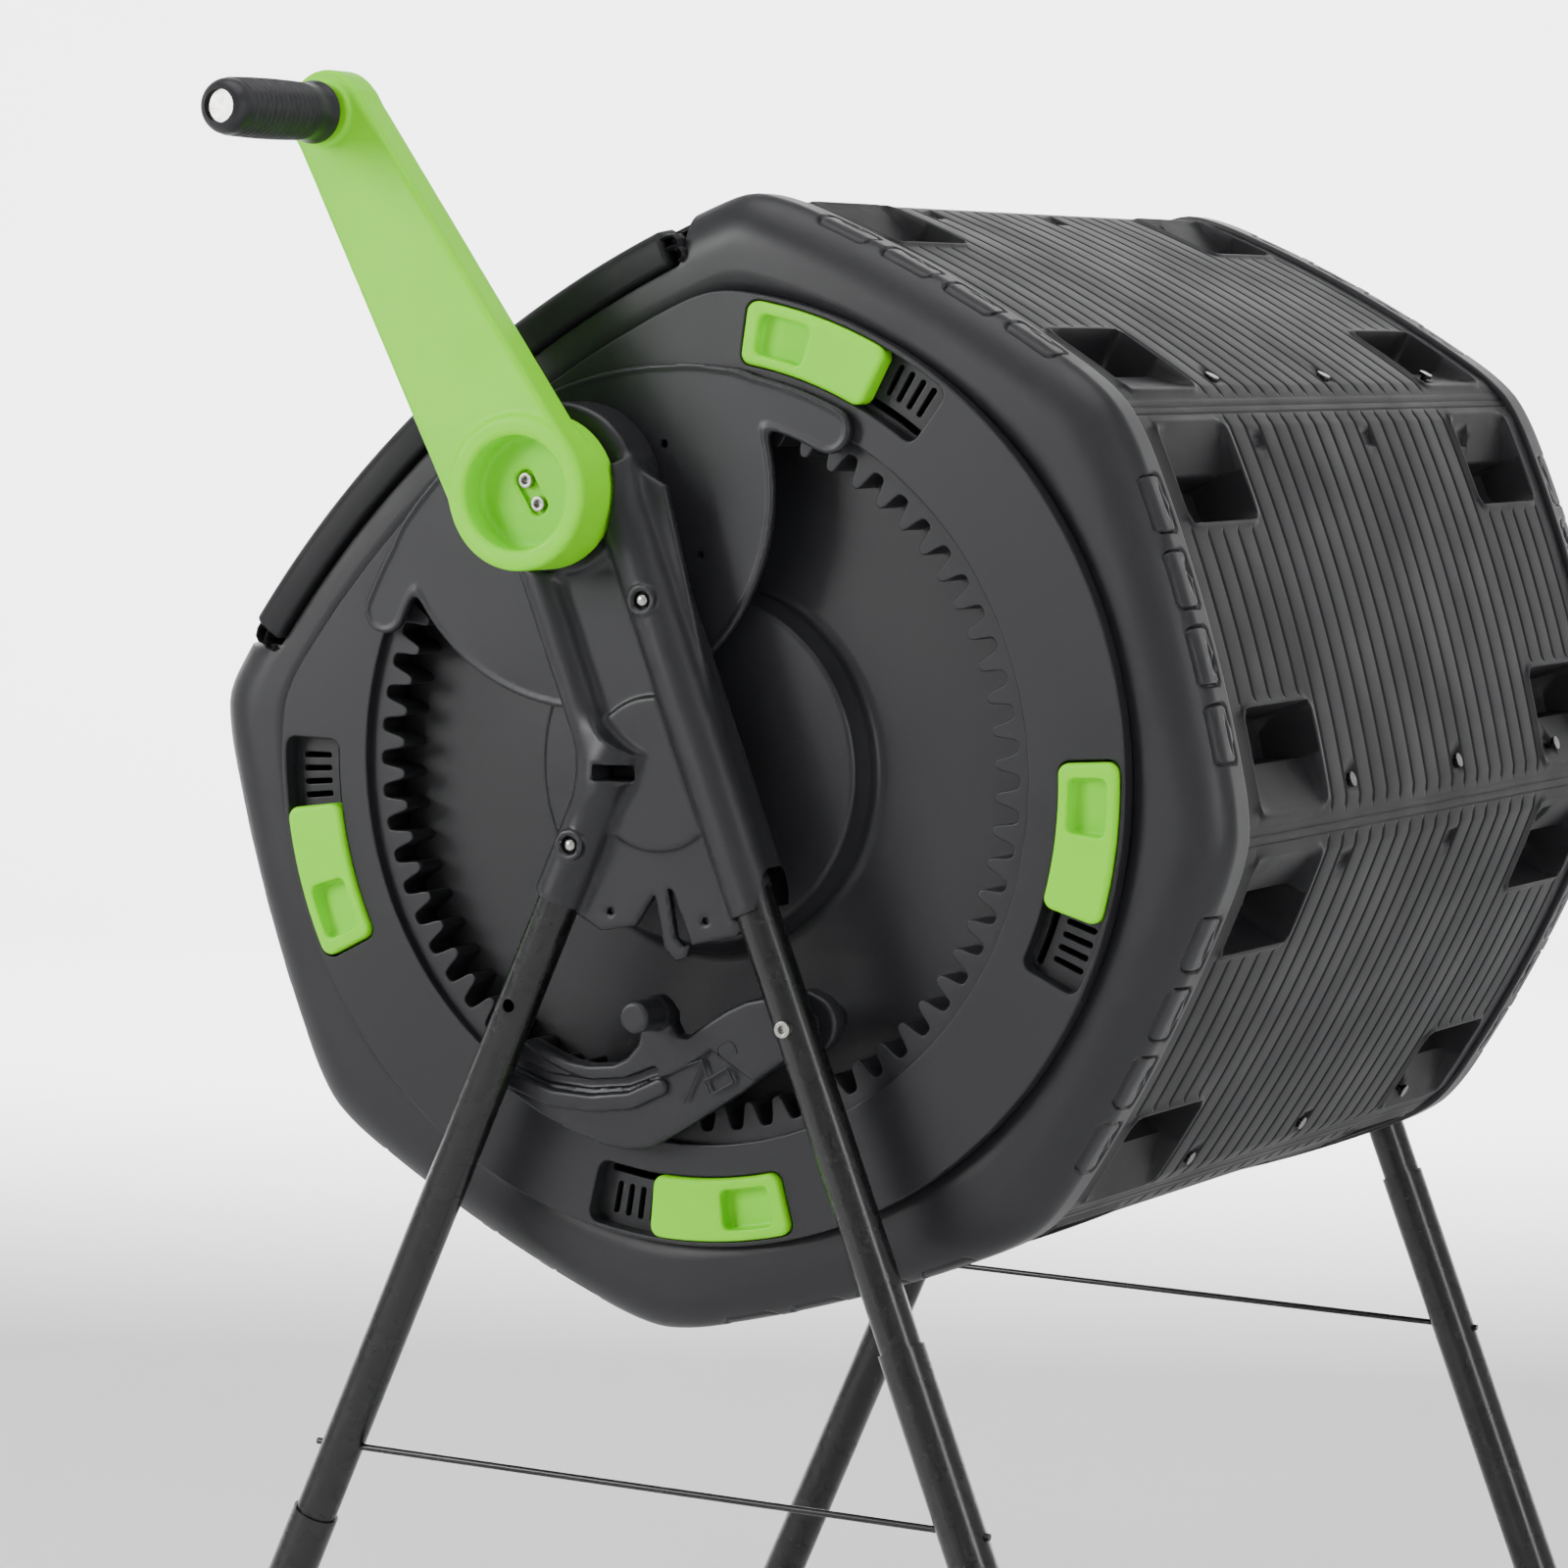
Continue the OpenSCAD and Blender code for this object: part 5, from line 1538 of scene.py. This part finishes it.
@dataclass(frozen=True)
class Studio:
    """Floor, lights and camera."""

    layout: Layout

    def floor(self) -> None:
        """A pale floor that curves up far behind the object."""
        x = np.linspace(-9, 9, 61)[:, None]
        y = np.linspace(-9, 9, 61)[None, :]
        reach = np.hypot(x, y)
        z = 0.9 * np.clip(reach - 5.5, 0, None) ** 2 + 0 * x
        points = np.stack(np.broadcast_arrays(x, y, z), axis=-1).reshape(-1, 3)
        sheet = Solid(points, [grid_quads(61, 61)[:, ::-1]])
        sheet.to_object("studio_floor", backdrop_paint("studio_paper"), 180)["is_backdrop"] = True

    @staticmethod
    def world() -> None:
        """Soft light from everywhere, brighter from above."""
        world = bpy.data.worlds.new("studio_world")
        world.use_nodes = True
        tree = world.node_tree
        place = tree.nodes.new("ShaderNodeTexCoord")
        split = tree.nodes.new("ShaderNodeSeparateXYZ")
        ramp = tree.nodes.new("ShaderNodeValToRGB")
        ramp.color_ramp.elements[0].color = (0.95, 0.95, 0.95, 1)
        ramp.color_ramp.elements[1].color = (1.0, 1.0, 1.0, 1)
        tree.links.new(place.outputs["Generated"], split.inputs[0])
        tree.links.new(split.outputs["Z"], ramp.inputs[0])
        tree.links.new(ramp.outputs[0], tree.nodes["Background"].inputs[0])
        tree.nodes["Background"].inputs[1].default_value = 0.38
        bpy.context.scene.world = world

    @staticmethod
    def softbox(name: str, at: Point, to: Point, size: Point, power: float) -> None:
        """A rectangular light at one point, facing another."""
        data = bpy.data.lights.new(name, "AREA")
        data.shape, data.size, data.size_y, data.energy = "RECTANGLE", size[0], size[1], power
        obj = bpy.data.objects.new(name, data)
        obj.location = at
        look = np.array(to, float) - np.array(at, float)
        obj.rotation_mode = "QUATERNION"
        obj.rotation_quaternion = Vector(look.tolist()).to_track_quat("-Z", "Y")
        bpy.context.scene.collection.objects.link(obj)

    def lights(self) -> None:
        """A large box overhead, one at each side of the camera."""
        self.softbox("overhead", (0.5, 0.2, 3.4), (0.0, 0.0, 0.8), (2.6, 2.2), 62)
        self.softbox("right_of_camera", (1.5, 3.4, 1.3), (0.0, 0.1, 0.8), (0.8, 1.8), 40)
        self.softbox("left_of_camera", (3.2, -2.4, 1.9), (0.3, 0.0, 0.8), (1.4, 1.8), 130)
        self.softbox("backdrop", (-3.1, -1.6, 2.7), (-6.0, -3.1, 0.7), (4.5, 2.5), 640)

    def camera(self) -> None:
        """A long lens looking at the crank end a little from above."""
        azimuth, elevation, roll = (math.radians(a) for a in (117.62, 5.21, 1.64))
        back = np.array([
            math.sin(azimuth) * math.cos(elevation),
            -math.cos(azimuth) * math.cos(elevation),
            math.sin(elevation),
        ])
        level = np.array([math.cos(azimuth), math.sin(azimuth), 0.0])
        above = np.cross(back, level)
        right = math.cos(roll) * level + math.sin(roll) * above
        up = np.cross(back, right)
        target = self.layout.axle + np.array([self.layout.half, 57.8, -2.9]) / 1000
        data = bpy.data.cameras.new("camera")
        data.sensor_width, data.lens = 36.0, 128.3
        data.shift_x, data.shift_y = -0.0025, -0.0031
        data.clip_start, data.clip_end = 0.05, 60.0
        camera = bpy.data.objects.new("camera", data)
        frame = np.eye(4)
        frame[:3, :4] = np.stack([right, up, back, target + CAMERA_AWAY * back], axis=1)
        camera.matrix_world = Matrix(frame.tolist())
        bpy.context.scene.collection.objects.link(camera)
        bpy.context.scene.camera = camera


def corners(bounds: tuple) -> list[list[float]]:
    """Two corners as plain lists."""
    return [list(map(float, corner)) for corner in bounds]


def main() -> None:
    """Builds the whole scene."""
    logging.basicConfig(level=logging.INFO, format="%(name)s: %(message)s")
    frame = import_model()
    cad_box = corners(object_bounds())
    layout = Layout.read(frame)
    paints = Paints.make()
    paint_frame(frame, paints)
    drum = DrumBuilder(layout, Drum(), paints)
    for end in End:
        drum.build_cap(end)
    drum.build_panels()
    drum.build_doors()
    LOG.info("drum built")
    stand = StandBuilder(layout, paints)
    for end in End:
        stand.build_bracket(end)
    stand.build_shield()
    stand.build_buttons_and_feet()
    stand.build_crank()
    stand.build_lever()
    LOG.info("stand built")
    studio = Studio(layout)
    studio.floor()
    studio.world()
    studio.lights()
    studio.camera()
    json.dumps({"cad": cad_box, "visual": corners(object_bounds())})


if __name__ == "__main__":
    main()
